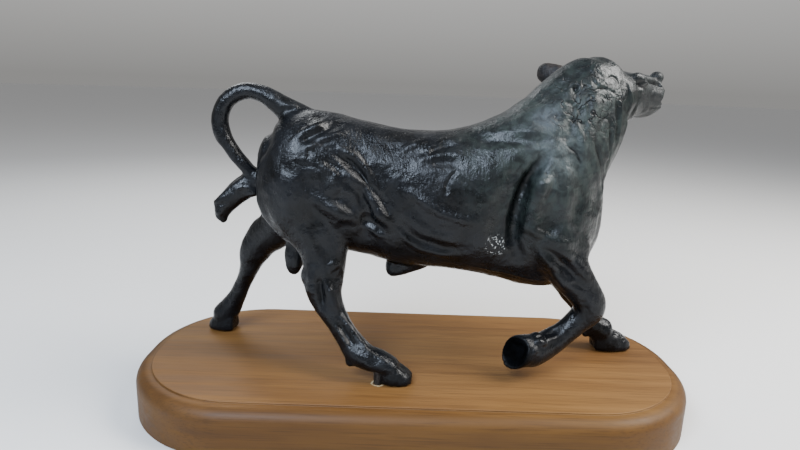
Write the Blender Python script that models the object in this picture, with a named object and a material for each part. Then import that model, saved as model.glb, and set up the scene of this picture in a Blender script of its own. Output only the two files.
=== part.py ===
# Cast bull striding on a routed wooden base, with the short stud that holds one hoof up.
# Metres, +Z up. Origin at the centre of the base's underside; the bull faces +X and its
# right side faces -Y. Tables of the bull's body are in millimetres above the base's top.

import math

import bmesh
import bpy
import numpy as np
from mathutils import Matrix, Vector

# Wooden base: its ends are round but for a short flat
BASE_LENGTH = 0.420
BASE_WIDTH = 0.187
BASE_HEIGHT = 0.0355
BASE_END_FLAT = 0.015
ROUNDOVER_RADIUS = 0.0095
STEP_WIDTH = 0.0019
STEP_HEIGHT = 0.0013
FOOT_CHAMFER = 0.0008
CORNER_SEGMENTS = 14
ROUNDOVER_SEGMENTS = 6

# Bull: its height from hoof sole to the top of the neck, and the height its tables are drawn at
BULL_HEIGHT = 0.2315
DRAWN_HEIGHT = 231.5
HOOF_GAP = 0.0003
MIDLINE = -4.0

# Stud under the raised heel of the right hind hoof
STUD_DIAMETER = 0.0066
STUD_SOCKET_DEPTH = 0.006
STUD_SOCKET_CLEARANCE = 0.0003
STUD_PLACE = (-24.5, -50.5)
STUD_TOP = 9.5
STUD_SIDES = 20

# How the bull's skin is made
VOXEL = 0.0014
SMOOTH_ROUNDS = 4
FINISH_ROUNDS = 1
CHEST_ROUNDS = 34
SKIN_TRIANGLES = 8200
END_ROUNDNESS = 0.7
HEAD_ROUNDNESS = 0.5
SOLE_REGION = 50

# Trunk from rump to chest: place along the back, top, bottom, half width
TRUNK = [
    (-106, 172, 122, 18), (-102, 180, 107, 27), (-93, 186, 97, 34), (-80, 189, 91, 37),
    (-60, 187, 87, 36), (-38, 182, 84, 34.5), (-15, 178, 78, 36.5), (10, 177, 76, 39),
    (35, 181, 74, 40), (58, 191, 70, 39.5), (80, 205, 64, 38), (98, 208, 63, 36),
    (112, 192, 67, 32), (120, 167, 80, 24),
]

# Neck from the withers up to the poll: middle of each slanted section, its half depth
# from crest to throat, and its half width
NECK = [
    (80, -4, 136, 54, 39), (90, -4, 152, 45, 37.5), (101, -3, 171, 40.5, 33.5),
    (113, 0, 190, 36.5, 29), (123.5, 4, 205.5, 30.5, 26), (130, 7, 211.5, 24, 23),
]

# Legs: middle of each section, half thickness fore and aft, half thickness sideways
HIND_RIGHT = [
    (-80, -16, 140, 35, 20), (-74, -20, 116, 30.5, 18.5), (-68, -24, 95, 20, 14.5),
    (-66, -27, 80, 15.5, 11.5), (-66.5, -29, 67, 14.3, 10.5), (-64.5, -31, 56, 12.2, 9.5),
    (-57.5, -34, 43, 9.2, 8.2), (-49, -38, 31, 8.6, 7.8), (-41, -41.5, 21, 10, 9.5),
    (-33, -44.5, 16.5, 9.4, 9.8), (-24, -46, 14.6, 8.4, 9.8), (-15, -46.5, 10.5, 7, 9.4),
]
HIND_LEFT = [
    (-90, 8, 140, 30, 20), (-95, 13, 116, 24.5, 17), (-107, 20, 98, 18, 13.5),
    (-123, 26, 83, 14.6, 11), (-131.5, 29, 70, 12, 9.8), (-136, 31, 57, 8.2, 8.2),
    (-141.5, 33, 44, 6.8, 7.2), (-147.5, 34.5, 31, 7.2, 7.4), (-153, 36, 21.5, 9, 8.6),
    (-160.5, 37, 11.6, 10.2, 9.6),
]
FORE_RIGHT = [
    (96, -20, 125, 26, 18), (101, -24, 102, 22.5, 15.5), (108, -27, 86, 17.5, 13),
    (118, -28, 72, 13.5, 11), (127, -28, 60, 12, 10.5), (128, -27.5, 51, 11.5, 10),
    (121, -27, 42, 9.4, 8.6), (111, -28, 32.6, 9.2, 8.2), (101, -30.5, 26.4, 10.2, 9),
    (92, -34, 22.6, 11.6, 10.6), (85, -37, 21, 11.2, 10.6),
]
FORE_LEFT = [
    (96, 12, 115, 24, 17), (103, 15, 92, 20, 13.5), (112, 17, 75, 15, 12), (123, 18, 60, 12, 10.2),
    (131, 19, 50, 12, 10), (137.5, 20, 39, 8.8, 8.2), (142.5, 21, 29, 8, 8), (149, 21, 21, 9.6, 9),
    (158, 21.2, 15, 10.6, 9.8),
]

# Hooves on the base: heel and toe of the sole, the side that the pastern is on, half width, height
HOOVES = [
    ((-22, -46, 0.3), (0, -47.5, 0.3), (-0.2, 0, 1), 10.4, 15),
    ((-150, 35, 0.3), (-172.5, 38, 0.3), (0.2, 0, 1), 9.6, 18),
    ((151, 21, 0.3), (182, 22, 0.3), (-0.2, 0, 1), 10, 19),
]
# A claw along its length: share of the length, its width there, its height there
CLAW = [
    (0.0, 0.78, 0.86), (0.3, 1.0, 1.0), (0.6, 0.97, 0.78), (0.85, 0.8, 0.56), (1.0, 0.52, 0.36),
]
CLEFT = 0.04
CLAW_SIDES = 6

# The lifted hoof is a tube towards the leg, cut off flat along its sole
LIFTED_HOOF = [
    (62, -45, 20, 11, 10.4), (74, -40.5, 22.2, 12.2, 11), (86, -36.5, 22.8, 11.6, 10.6),
]
SOLE_PLACE = (73, -41, 22.4)
SOLE_FACING = (-0.74, -0.6, 0.3)

TAIL = [
    (-76, -4, 174, 13, 10), (-88, -4, 182, 11, 9.5), (-100, -4, 190.6, 8.4, 8.4),
    (-113, -4, 198.3, 6.6, 7), (-126, -4, 200.4, 6.2, 6.4), (-138.5, -4, 194, 6.2, 6.4),
    (-144.8, -4, 181, 6.2, 6.4), (-142.8, -4, 167, 6.2, 6.2), (-135, -4, 154, 6, 6),
    (-127, -3, 144, 6, 6.6), (-121, -2, 134, 6.8, 7.2),
]
TUFT = [
    (-113, -2, 138.5, 9, 7.6), (-124, -2, 134, 10, 8), (-135, -3, 127, 9.6, 8.6),
    (-144, -4, 117.5, 8.4, 8), (-147.5, -4.5, 108, 5.4, 5.6),
]
SHEATH = [
    (-18.5, -5, 70.5, 5.4, 5.4), (-10, -5, 73.5, 6.6, 6.4), (6, -5, 80, 7, 7.4),
]
LEFT_EAR = [
    (122, 24, 215, 5, 5.5), (112, 30, 218, 4.8, 6.8), (103, 36, 220.3, 4.2, 8),
    (96.5, 40, 221, 3.8, 8), (93.5, 42.5, 221, 3.2, 6),
]
RIGHT_EAR = [
    (138, -5, 214, 5, 5), (127, -12, 214, 4.6, 4.6), (115, -17.5, 211, 4.6, 4.2),
    (105, -20.5, 207.5, 3.6, 3.4),
]

# Egg-shaped masses: middle, half sizes and, mostly, the pitch in the side view
DEWCLAWS = [
    ((-47, -37.5, 15), (3.6, 2.8, 4.4)), ((-45, -46.5, 14), (3.6, 2.8, 4.4)),
    ((-148.5, 32, 17), (2.8, 2.6, 3.6)), ((-148.5, 39.5, 17), (2.8, 2.6, 3.6)),
    ((90, -34, 32.6), (5, 3, 4)), ((91.5, -41.5, 30.6), (4.6, 2.8, 3.6)),
    ((143.5, 17, 15), (3.4, 2.8, 4.6)), ((143.5, 25.5, 15), (3.4, 2.8, 4.6)),
]
JOINTS = [
    ((131, -28, 57), (7.5, 9.5, 10), -10), ((-77, -29, 71), (6.5, 6.5, 9), 10),
    ((-134, 29, 73), (8, 8, 9), 30), ((136, 19, 49), (7, 9, 10), -40),
]
LOCKS = [
    ((-149.5, -5, 118), (3.6, 4.5, 5.5), 30), ((-146, -5, 106.5), (3.8, 4, 4.6), 70),
    ((-133, -7, 131), (10, 4.5, 4.2), 38), ((-139, -1, 120), (9, 4.5, 4), 46),
    ((-123, -6, 128), (7, 4.5, 4.4), 12),
]
MUSCLES = [
    ((-78, -21, 138), (36, 20, 46), -12), ((-82, 13, 138), (34, 20, 46), 12),
    ((92, -23, 142), (26, 20, 44), 14), ((92, 15, 142), (26, 20, 44), 14),
    ((98, -28, 103), (19, 16, 24), -14), ((98, 16, 100), (19, 15, 24), -14),
    ((108, -20, 128), (17, 17, 34), 8), ((108, 12, 128), (17, 17, 34), 8),
    ((140, -1, 205), (14.5, 14, 17), 0), ((112, -4, 96), (14, 15, 26), 0),
    ((104, -4, 160), (20, 26, 34), 20),
]
UNDERSIDE = [
    ((-92.5, -3, 78.5), (7.6, 5.4, 15.5), 0), ((-92.5, 5, 78.5), (7.6, 5.4, 15), 0),
    ((-90, 0, 92), (10, 9, 15), 0), ((-16.5, -5, 74), (6.5, 6.4, 9), 0),
]

# Head: yaw to the bull's left and pitch, then sections from poll to nose: distance from
# the poll, top and bottom from the head's axis, half width
HEAD_PLACE = (132, 11, 208)
HEAD_YAW = 38
HEAD_PITCH = -1
HEAD = [
    (-7, 12, 18, 16), (2, 15, 23, 20), (12, 16.4, 23, 22), (21, 16, 20, 21.2), (30, 15.6, 18, 18.6),
    (39, 15.4, 17.2, 17), (48, 15, 17, 16.6), (56, 13, 17.4, 16.8), (62, 10, 16.4, 15.2),
]
HEAD_LUMPS = [
    ((1, 0, 11.5), (13, 17, 7), 0), ((57.5, 0, -8), (9, 15.5, 9), 0),
    ((54, 0, -13.5), (9, 12, 5), 0), ((60.5, -8.2, 13.2), (6, 5.4, 5), 0),
    ((60.5, 8.2, 10.4), (6, 5.4, 5), 0),
]
PAIRED_LUMPS = [
    ((20, 17, 10), (9, 5.5, 5), -10), ((10, 13, -7), (14, 9, 15), 0),
    ((57.5, 9.5, 3), (7.6, 8, 7), 10), ((22.5, 20, 4.6), (4.6, 2.8, 3.4), 0),
]

# Carving in the side view: side (-1 right, 1 left, 0 both), height (+ raised, - cut),
# half width, and the route (x, height above the base)
SIDE_CUTS = [
   
    (-1, -6.2, 7.0, [(82, 163), (77.5, 156), (72.5, 146), (69, 134), (66.5, 120), (67, 104), (72, 92)]),
    (-1, -4.2, 15, [(73, 156), (66, 144), (60, 130), (58, 114), (64, 98)]),
    (-1, 1.8, 7, [(88, 160), (82, 148), (79, 132), (78, 118), (82, 104)]),
    (1, -4.4, 8, [(80, 160), (73, 149), (67, 131), (65, 117), (68, 102)]),
    (0, 2.4, 9, [(83, 152), (87, 143), (84, 133)]), (0, 2.2, 10, [(80, 122), (84, 108), (92, 98)]),
    (0, -1.6, 6, [(101, 168), (111, 146), (108, 118)]),
    (0, 1.6, 9, [(99, 150), (98, 128), (100, 108)]), (0, 1.6, 12, [(92, 178), (88, 166)]),
    (0, 1.4, 9, [(-70, 178), (-40, 178), (0, 171), (34, 172)]),
    (-1, -2.5, 5, [(-60, 164), (-49.3, 156), (-42.2, 148.8), (-35.2, 141), (-28.1, 132.4), (-22, 120)]),
    (-1, -1.6, 12, [(-50, 164), (-36, 150), (-24, 134), (-18, 118)]),
    (1, -2.2, 8, [(-56, 164), (-40, 152), (-27, 134), (-24, 118)]),
    (-1, 2.0, 6, [(-38, 142), (-28, 128), (-20, 112)]),
    (0, -2.4, 7, [(-40, 142), (-33, 124), (-38, 104)]), (0, 2.6, 15, [(-54, 132), (-52, 112)]),
    (0, 2.0, 13, [(-92, 150), (-88, 122)]), (0, -1.5, 7, [(-78, 152), (-72, 128), (-70, 108)]),
    (1, -1.5, 7, [(28, 174), (54, 175), (80, 172)]), (0, 1.2, 9, [(70, 182), (82, 176)]),
    (0, -1.2, 6, [(-6, 128), (12, 113), (34, 109)]),
    (0, 2.0, 8, [(118, 213), (116, 192), (112, 168)]),
    (0, -1.6, 7, [(104, 205), (101, 188), (97, 172)]), (0, 1.6, 9, [(-76, 84), (-72, 68)]),
    (1, -1.4, 6, [(-15, 117), (-1, 103), (20, 97)]), (1, 1.3, 6, [(-2, 134), (15, 121), (38, 117)]),
    (1, 1.4, 6, [(92, 94), (104, 81), (115, 67)]), (1, 1.6, 6, [(97, 216), (112, 215)]),
    (1, -2.0, 4.5, [(98, 220), (110, 218)]),
]

# The same seen from the front (side 1) or from behind (side -1), with the route (y, height)
CHEST_FROM = 60
CHEST_CUTS = [
    (1, -2.2, 7, [(-4, 150), (-4, 118)]), (1, 2.2, 9, [(-4, 112), (-4, 88)]),
    (1, -1.6, 6, [(-24, 132), (-19, 108), (-17, 90)]),
    (1, -1.6, 6, [(16, 132), (11, 108), (9, 90)]), (1, 1.5, 8, [(-26, 120), (-27, 100)]),
    (1, 1.5, 8, [(18, 120), (19, 98)]), (1, 1.2, 5, [(-9, 186), (-10, 150)]),
    (1, 1.2, 5, [(4, 186), (3, 150)]),
]
RUMP_FROM = -60
RUMP_CUTS = [
    (-1, -3.0, 7, [(-4, 158), (-4, 104)]), (-1, 1.6, 9, [(-20, 150), (-22, 116)]),
    (-1, 1.6, 9, [(12, 150), (14, 116)]), (-1, -1.4, 6, [(-30, 128), (-28, 104)]),
    (-1, -1.4, 6, [(22, 128), (22, 104)]),
]
SOLE_FROM = 90
SOLE_CUTS = [
    (-1, -6.5, 8.4, [(-41.4, 25.6), (-41.8, 19.6)]),
]

# Carving of the head in its own side view: distance from the poll, height on its axis
HEAD_CUTS = [
    (0, 1.0, 3.4, [(33, 14), (44, 14), (52, 13)]), (0, -2.8, 2.2, [(40, 9.6), (48, 9), (56, 8)]),
    (0, 1.3, 5.0, [(46, 1), (56, -1)]), (0, -0.7, 1.3, [(46, -10), (56, -9.5), (66, -8)]),
    (0, -1.5, 4.0, [(16, 6.4), (28, 2)]), (0, 1.1, 1.8, [(18, 6), (22.5, 8.2), (27, 5.6)]),
    (0, 1.0, 1.6, [(18.5, 2.8), (22.5, 1), (27, 2.6)]), (0, 1.2, 6, [(10, -9), (16, -16)]),
    (0, -1.2, 4, [(30, -3), (37, -8), (40, -12)]),
    (0, -0.6, 1.2, [(43, 3.4), (44.4, 1.4), (43.6, -1)]),
]


def unit():
    return BULL_HEIGHT / DRAWN_HEIGHT


# General tools
def clear_scene():
    for item in list(bpy.data.objects):
        bpy.data.objects.remove(item, do_unlink=True)


def make_material(name, colour, roughness, metallic=0.0):
    material = bpy.data.materials.new(name)
    material.use_nodes = True
    shader = material.node_tree.nodes["Principled BSDF"]
    shader.inputs["Base Color"].default_value = (*colour, 1.0)
    shader.inputs["Roughness"].default_value = roughness
    shader.inputs["Metallic"].default_value = metallic
    return material


def make_object(name, bm, material):
    bmesh.ops.recalc_face_normals(bm, faces=bm.faces[:])
    mesh = bpy.data.meshes.new(name)
    bm.to_mesh(mesh)
    bm.free()
    mesh.materials.append(material)
    item = bpy.data.objects.new(name, mesh)
    bpy.context.scene.collection.objects.link(item)
    return item


def join(bm, other):
    mesh = bpy.data.meshes.new("scratch")
    other.to_mesh(mesh)
    other.free()
    bm.from_mesh(mesh)
    bpy.data.meshes.remove(mesh)


def apply_modifiers(item):
    graph = bpy.context.evaluated_depsgraph_get()
    mesh = bpy.data.meshes.new_from_object(item.evaluated_get(graph), depsgraph=graph)
    item.modifiers.clear()
    item.data = mesh


def curve_through(stations, steps):
    # Smooth curve through rows of any length, the same number of steps between each two
    rows = np.array(stations, dtype=float)
    padded = np.vstack([2 * rows[0] - rows[1], rows, 2 * rows[-1] - rows[-2]])
    found = []
    for i in range(1, len(padded) - 2):
        a, b, c, d = padded[i - 1:i + 3]
        for k in range(steps):
            t = k / steps
            found.append(0.5 * (2 * b + (c - a) * t + (2 * a - 5 * b + 4 * c - d) * t ** 2
                                + (3 * b - a - 3 * c + d) * t ** 3))
    found.append(rows[-1])
    return np.array(found)


def ring(bm, middle, up, side, half_up, half_side, sides, squareness):
    verts = []
    for k in range(sides):
        angle = 2 * math.pi * k / sides
        c = math.cos(angle)
        s = math.sin(angle)
        c = math.copysign(abs(c) ** (2 / squareness), c)
        s = math.copysign(abs(s) ** (2 / squareness), s)
        verts.append(bm.verts.new(middle + up * half_up * c + side * half_side * s))
    return verts


def end_rings(bm, middle, along, up, side, row, sides, squareness, roundness):
    found = []
    reach = roundness * min(row[3], row[4])
    for angle in (30, 55, 75):
        shrink = math.cos(math.radians(angle))
        place = middle + along * reach * math.sin(math.radians(angle))
        found.append(ring(bm, place, up, side, row[3] * shrink, row[4] * shrink, sides, squareness))
    return found


def loft(bm, stations, side_axis=(0, 1, 0), steps=3, sides=20, squareness=2.0, straight=None,
         roundness=END_ROUNDNESS):
    # Closed tube through the stations (x, y, z, half up, half sideways), with round ends.
    # Its sections follow the tube's bend, or all face one way where straight names it.
    rows = curve_through(stations, steps)
    points = [Vector(row[:3]) for row in rows]
    rings = []
    for i, row in enumerate(rows):
        ahead = points[min(i + 1, len(points) - 1)]
        behind = points[max(i - 1, 0)]
        along = Vector(straight or ahead - behind).normalized()
        side = Vector(side_axis)
        side = (side - along * side.dot(along)).normalized()
        up = along.cross(side)
        shape = (sides, squareness)
        if i == 0:
            rings += end_rings(bm, points[i], -along, up, side, row, *shape, roundness)[::-1]
        rings.append(ring(bm, points[i], up, side, row[3], row[4], *shape))
        if i == len(rows) - 1:
            rings += end_rings(bm, points[i], along, up, side, row, *shape, roundness)
    for a, b in zip(rings, rings[1:]):
        for k in range(sides):
            n = (k + 1) % sides
            bm.faces.new((a[k], a[n], b[n], b[k]))
    bm.faces.new(rings[0][::-1])
    bm.faces.new(rings[-1])


def lump(bm, middle, radii, pitch=0):
    # Egg-shaped mass; pitch turns it in the side view
    place = Matrix.Translation(Vector(middle)) @ Matrix.Rotation(
        math.radians(-pitch), 4, "Y") @ Matrix.Diagonal((*radii, 1))
    bmesh.ops.create_uvsphere(bm, u_segments=20, v_segments=12, radius=1, matrix=place)


# The bull's masses
def add_trunk(bm):
    rows = [(x, MIDLINE, (top + low) / 2, (top - low) / 2, half) for x, top, low, half in TRUNK]
    loft(bm, rows, sides=32, squareness=2.25, straight=(1, 0, 0))


def head_frame():
    forward = Matrix.Rotation(math.radians(HEAD_YAW), 3, "Z") @ Matrix.Rotation(
        math.radians(-HEAD_PITCH), 3, "Y")
    place = forward.to_4x4()
    place.translation = Vector(HEAD_PLACE)
    return place


def add_head(bm):
    head = bmesh.new()
    rows = [(s, 0, (top - low) / 2, (top + low) / 2, half) for s, top, low, half in HEAD]
    loft(head, rows, sides=24, squareness=2.4, straight=(1, 0, 0), roundness=HEAD_ROUNDNESS)
    for middle, radii, pitch in HEAD_LUMPS:
        lump(head, middle, radii, pitch)
    for middle, radii, pitch in PAIRED_LUMPS:
        for side in (-1, 1):
            lump(head, (middle[0], middle[1] * side, middle[2]), radii, pitch)
    bmesh.ops.transform(head, matrix=head_frame(), verts=head.verts[:])
    join(bm, head)


def add_hooves(bm):
    # Each hoof is two claws side by side, flat below and sloping from pastern to toe
    for heel, toe, shin, half, height in HOOVES:
        heel = Vector(heel)
        toe = Vector(toe)
        along = (toe - heel).normalized()
        side = along.cross(Vector(shin)).normalized()
        up = side.cross(along)
        for sign in (-1, 1):
            add_claw(bm, heel, toe, along, side * sign, up, half, height)


def add_claw(bm, heel, toe, along, side, up, half, height):
    length = (toe - heel).length
    rings = []
    for share, wide, tall in CLAW:
        foot = heel + along * length * share
        inner = side * half * CLEFT
        outer = side * half * wide * (1 + CLEFT)
        top = up * height * tall
        profile = [foot + inner, foot + outer * 0.9, foot + outer + top * 0.18,
                   foot + outer * 0.86 + top * 0.66, foot + outer * 0.5 + top,
                   foot + inner + top * 0.96]
        rings.append([bm.verts.new(point) for point in profile])
    for a, b in zip(rings, rings[1:]):
        for k in range(CLAW_SIDES):
            n = (k + 1) % CLAW_SIDES
            bm.faces.new((a[k], a[n], b[n], b[k]))
    bm.faces.new(rings[0][::-1])
    bm.faces.new(rings[-1])


def add_lifted_hoof(bm):
    hoof = bmesh.new()
    loft(hoof, LIFTED_HOOF, sides=22)
    bmesh.ops.bisect_plane(hoof, geom=hoof.verts[:] + hoof.edges[:] + hoof.faces[:],
                           plane_co=SOLE_PLACE, plane_no=SOLE_FACING, clear_outer=True)
    bmesh.ops.holes_fill(hoof, edges=[edge for edge in hoof.edges if edge.is_boundary])
    join(bm, hoof)


def bull_masses():
    bm = bmesh.new()
    add_trunk(bm)
    loft(bm, NECK, sides=28, squareness=2.2)
    add_head(bm)
    loft(bm, LEFT_EAR, side_axis=(0.1, 0.1, 1), sides=16)
    loft(bm, RIGHT_EAR, side_axis=(0, 1, 0.4), sides=14)
    for leg in (HIND_RIGHT, HIND_LEFT, FORE_RIGHT, FORE_LEFT):
        loft(bm, leg, sides=20)
    add_hooves(bm)
    add_lifted_hoof(bm)
    loft(bm, TAIL, steps=4, sides=18)
    loft(bm, TUFT, sides=18)
    loft(bm, SHEATH, sides=16)
    for middle, radii in DEWCLAWS:
        lump(bm, middle, radii)
    for group in (JOINTS, LOCKS, MUSCLES, UNDERSIDE):
        for middle, radii, pitch in group:
            lump(bm, middle, radii, pitch)
    return bm


def fuse(item, rounds):
    # One closed skin round all the masses of an object, smoothed
    skin = item.modifiers.new("Skin", "REMESH")
    skin.mode = "VOXEL"
    skin.voxel_size = VOXEL
    smooth = item.modifiers.new("Smooth", "SMOOTH")
    smooth.factor = 0.5
    smooth.iterations = rounds
    apply_modifiers(item)


# Carving, with the points in the units of the tables
def read_skin(mesh):
    count = len(mesh.vertices)
    points = np.empty(count * 3)
    normals = np.empty(count * 3)
    mesh.vertices.foreach_get("co", points)
    mesh.vertices.foreach_get("normal", normals)
    return points.reshape(-1, 3) / unit(), normals.reshape(-1, 3)


def distance_to_route(flat, route):
    # Distance to the route, and the share of its length at the nearest place
    nearest = np.full(len(flat), 1e9)
    share = np.zeros(len(flat))
    lengths = [math.dist(start, end) for start, end in zip(route, route[1:])]
    done = 0
    for start, end, length in zip(route, route[1:], lengths):
        along = np.array(end, dtype=float) - start
        t = np.clip((flat - start) @ along / (along @ along), 0, 1)
        away = np.linalg.norm(flat - start - t[:, None] * along, axis=1)
        closer = away < nearest
        nearest[closer] = away[closer]
        share[closer] = ((done + t * length) / sum(lengths))[closer]
        done += length
    return nearest, share


def side_share(side, across, facing):
    # How far a point belongs to the carved side: 0 on the other side, 1 where it faces sideways
    if side == 0:
        return np.clip((np.abs(facing) - 0.1) / 0.4, 0, 1)
    return np.clip((side * facing - 0.1) / 0.4, 0, 1) * (side * across > -1)


def carving(points, normals, strokes, middle, tapered=False, plane=(0, 2), across=1):
    # Height of the carving at each point; a tapered stroke fades towards both of its ends
    height = np.zeros(len(points))
    flat = points[:, list(plane)]
    for side, rise, width, route in strokes:
        away, share = distance_to_route(flat, route)
        here = side_share(side, points[:, across] - middle, normals[:, across])
        if tapered:
            here = here * np.clip(0.3 + 3 * np.minimum(share, 1 - share), 0, 1)
        height += rise * here * np.clip(1 - (away / width) ** 2, 0, 1) ** 2
    return height


def to_head(points):
    frame = np.array(head_frame())
    return (points - frame[:3, 3]) @ frame[:3, :3]


def soften_chest(item):
    points, normals = read_skin(item.data)
    soft = (points[:, 0] > 88) & (np.abs(points[:, 1] - MIDLINE) < 40) & (points[:, 2] > 84) & (
        points[:, 2] < 200) & (to_head(points)[:, 0] < 8)
    group = item.vertex_groups.new(name="Chest")
    group.add([int(i) for i in np.flatnonzero(soft)], 1.0, "REPLACE")
    smooth = item.modifiers.new("Soften", "SMOOTH")
    smooth.factor = 0.5
    smooth.iterations = CHEST_ROUNDS
    smooth.vertex_group = "Chest"
    apply_modifiers(item)
    item.vertex_groups.clear()


def carve(mesh):
    points, normals = read_skin(mesh)
    head_points = to_head(points)
    head_normals = normals @ np.array(head_frame())[:3, :3]
    on_head = (head_points[:, 0] > 12) & (np.abs(head_points[:, 1]) < 27) & (head_points[:, 2] > -33)
    ends = ((1, 2), 0)
    height = carving(points, normals, SIDE_CUTS, MIDLINE, True)
    height += carving(points, normals, CHEST_CUTS, CHEST_FROM, False, *ends)
    height[on_head] = carving(head_points, head_normals, HEAD_CUTS, 0)[on_head]
    height += carving(points, normals, RUMP_CUTS, RUMP_FROM, False, *ends)
    height += carving(points, normals, SOLE_CUTS, SOLE_FROM, False, *ends) * (points[:, 0] > SOLE_REGION)
    points += normals * height[:, None]
    mesh.vertices.foreach_set("co", (points * unit()).ravel())
    mesh.update()


def add_bull(material):
    bm = bull_masses()
    scale = unit()
    bmesh.ops.scale(bm, vec=(scale, scale, scale), verts=bm.verts[:])
    item = make_object("bull", bm, material)
    item.location.z = BASE_HEIGHT + HOOF_GAP
    fuse(item, SMOOTH_ROUNDS)
    soften_chest(item)
    carve(item.data)
    fuse(item, FINISH_ROUNDS)
    thin = item.modifiers.new("Thin", "DECIMATE")
    thin.ratio = min(1.0, SKIN_TRIANGLES / (2 * len(item.data.polygons)))
    cut(item, stud_cutter("hoof_socket_cutter"))
    return item


# Base and stud
def outline(inset):
    # Counter-clockwise round the base, drawn in from its edge
    corner = (BASE_WIDTH - BASE_END_FLAT) / 2
    across = BASE_LENGTH / 2 - corner
    deep = BASE_WIDTH / 2 - corner
    radius = corner - inset
    points = []
    for turn, (sx, sy) in enumerate(((1, 1), (-1, 1), (-1, -1), (1, -1))):
        for k in range(CORNER_SEGMENTS + 1):
            angle = math.pi / 2 * (turn + k / CORNER_SEGMENTS)
            points.append((sx * across + radius * math.cos(angle), sy * deep + radius * math.sin(angle)))
    return points


def base_profile():
    # Inset and height, from the underside up to the top face
    shoulder = BASE_HEIGHT - STEP_HEIGHT - ROUNDOVER_RADIUS
    rows = [(FOOT_CHAMFER, 0.0), (0.0, FOOT_CHAMFER)]
    for k in range(ROUNDOVER_SEGMENTS + 1):
        angle = math.pi / 2 * k / ROUNDOVER_SEGMENTS
        rows.append((ROUNDOVER_RADIUS * (1 - math.cos(angle)), shoulder + ROUNDOVER_RADIUS * math.sin(angle)))
    rows.append((ROUNDOVER_RADIUS + STEP_WIDTH, BASE_HEIGHT - STEP_HEIGHT))
    rows.append((ROUNDOVER_RADIUS + STEP_WIDTH, BASE_HEIGHT))
    return rows


def add_base(material):
    bm = bmesh.new()
    rings = []
    for inset, height in base_profile():
        rings.append([bm.verts.new((x, y, height)) for x, y in outline(inset)])
    for a, b in zip(rings, rings[1:]):
        for k in range(len(a)):
            n = (k + 1) % len(a)
            bm.faces.new((a[k], a[n], b[n], b[k]))
    bm.faces.new(rings[0][::-1])
    bm.faces.new(rings[-1])
    return make_object("wooden_base", bm, material)


def stud_cylinder(radius, low, high):
    bm = bmesh.new()
    middle = Matrix.Translation((STUD_PLACE[0] * unit(), STUD_PLACE[1] * unit(), (low + high) / 2))
    bmesh.ops.create_cone(bm, cap_ends=True, segments=STUD_SIDES, radius1=radius, radius2=radius,
                          depth=high - low, matrix=middle)
    return bm


def stud_ends():
    return BASE_HEIGHT - STUD_SOCKET_DEPTH, BASE_HEIGHT + HOOF_GAP + STUD_TOP * unit()


def stud_cutter(name):
    # The hole that the stud stands in, in the base and in the heel of the hoof
    low, high = stud_ends()
    gap = STUD_SOCKET_CLEARANCE
    bm = stud_cylinder(STUD_DIAMETER / 2 + gap, low - gap, high + gap)
    cutter = make_object(name, bm, bpy.data.materials["stud_metal"])
    cutter.hide_render = True
    cutter.display_type = "WIRE"
    return cutter


def cut(item, cutter):
    hole = item.modifiers.new("Hole", "BOOLEAN")
    hole.operation = "DIFFERENCE"
    hole.object = cutter


def add_stud(material):
    low, high = stud_ends()
    return make_object("fixing_stud", stud_cylinder(STUD_DIAMETER / 2, low, high), material)


def main():
    clear_scene()
    paint = make_material("black_paint", (0.012, 0.013, 0.015), 0.38)
    wood = make_material("base_wood", (0.22, 0.11, 0.04), 0.42)
    metal = make_material("stud_metal", (0.12, 0.12, 0.12), 0.4, 0.8)
    base = add_base(wood)
    cut(base, stud_cutter("base_socket_cutter"))
    add_bull(paint)
    add_stud(metal)


main()
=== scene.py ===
# Cast bull, painted black, striding on a routed hardwood base with rounded ends.
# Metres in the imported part's frame: the bull faces +X, its right side faces -Y, +Z is up.
# The bull's own tables are in millimetres above the base's top face.

import math

import bmesh
import bpy
import numpy as np
from mathutils import Matrix, Vector, noise
from mathutils.bvhtree import BVHTree


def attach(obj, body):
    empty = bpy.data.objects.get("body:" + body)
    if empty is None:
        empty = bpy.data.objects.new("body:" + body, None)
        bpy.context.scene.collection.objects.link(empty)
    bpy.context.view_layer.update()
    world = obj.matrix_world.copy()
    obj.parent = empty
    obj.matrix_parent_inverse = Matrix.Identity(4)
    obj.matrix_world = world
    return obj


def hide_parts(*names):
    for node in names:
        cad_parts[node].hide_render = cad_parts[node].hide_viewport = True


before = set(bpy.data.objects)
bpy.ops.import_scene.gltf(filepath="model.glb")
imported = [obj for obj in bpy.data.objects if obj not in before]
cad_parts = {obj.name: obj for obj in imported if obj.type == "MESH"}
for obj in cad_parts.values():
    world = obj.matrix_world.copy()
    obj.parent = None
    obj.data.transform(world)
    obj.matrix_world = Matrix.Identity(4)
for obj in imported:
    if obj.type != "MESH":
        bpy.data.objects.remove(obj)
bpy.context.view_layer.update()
print("frame loaded")

# The camera that took the photograph: metres, radians and the photograph's pixels
camera = {
    "place": (-0.0130, -0.4322, 0.2447),
    "yaw": 0.0015,
    "pitch": 0.2366,
    "roll": 0.0334,
    "focalPixels": 585,
    "imageWidth": 800,
    "imageHeight": 450,
    "sensor": 36.0,
    "clipStart": 0.01,
}


def cameraAxes():
    yaw, pitch, roll = camera["yaw"], camera["pitch"], camera["roll"]
    ahead = Vector((math.sin(yaw) * math.cos(pitch), math.cos(yaw) * math.cos(pitch), -math.sin(pitch)))
    level = Vector((math.cos(yaw), -math.sin(yaw), 0))
    upright = level.cross(ahead)
    right = level * math.cos(roll) + upright * math.sin(roll)
    up = upright * math.cos(roll) - level * math.sin(roll)
    return right, up, ahead


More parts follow.
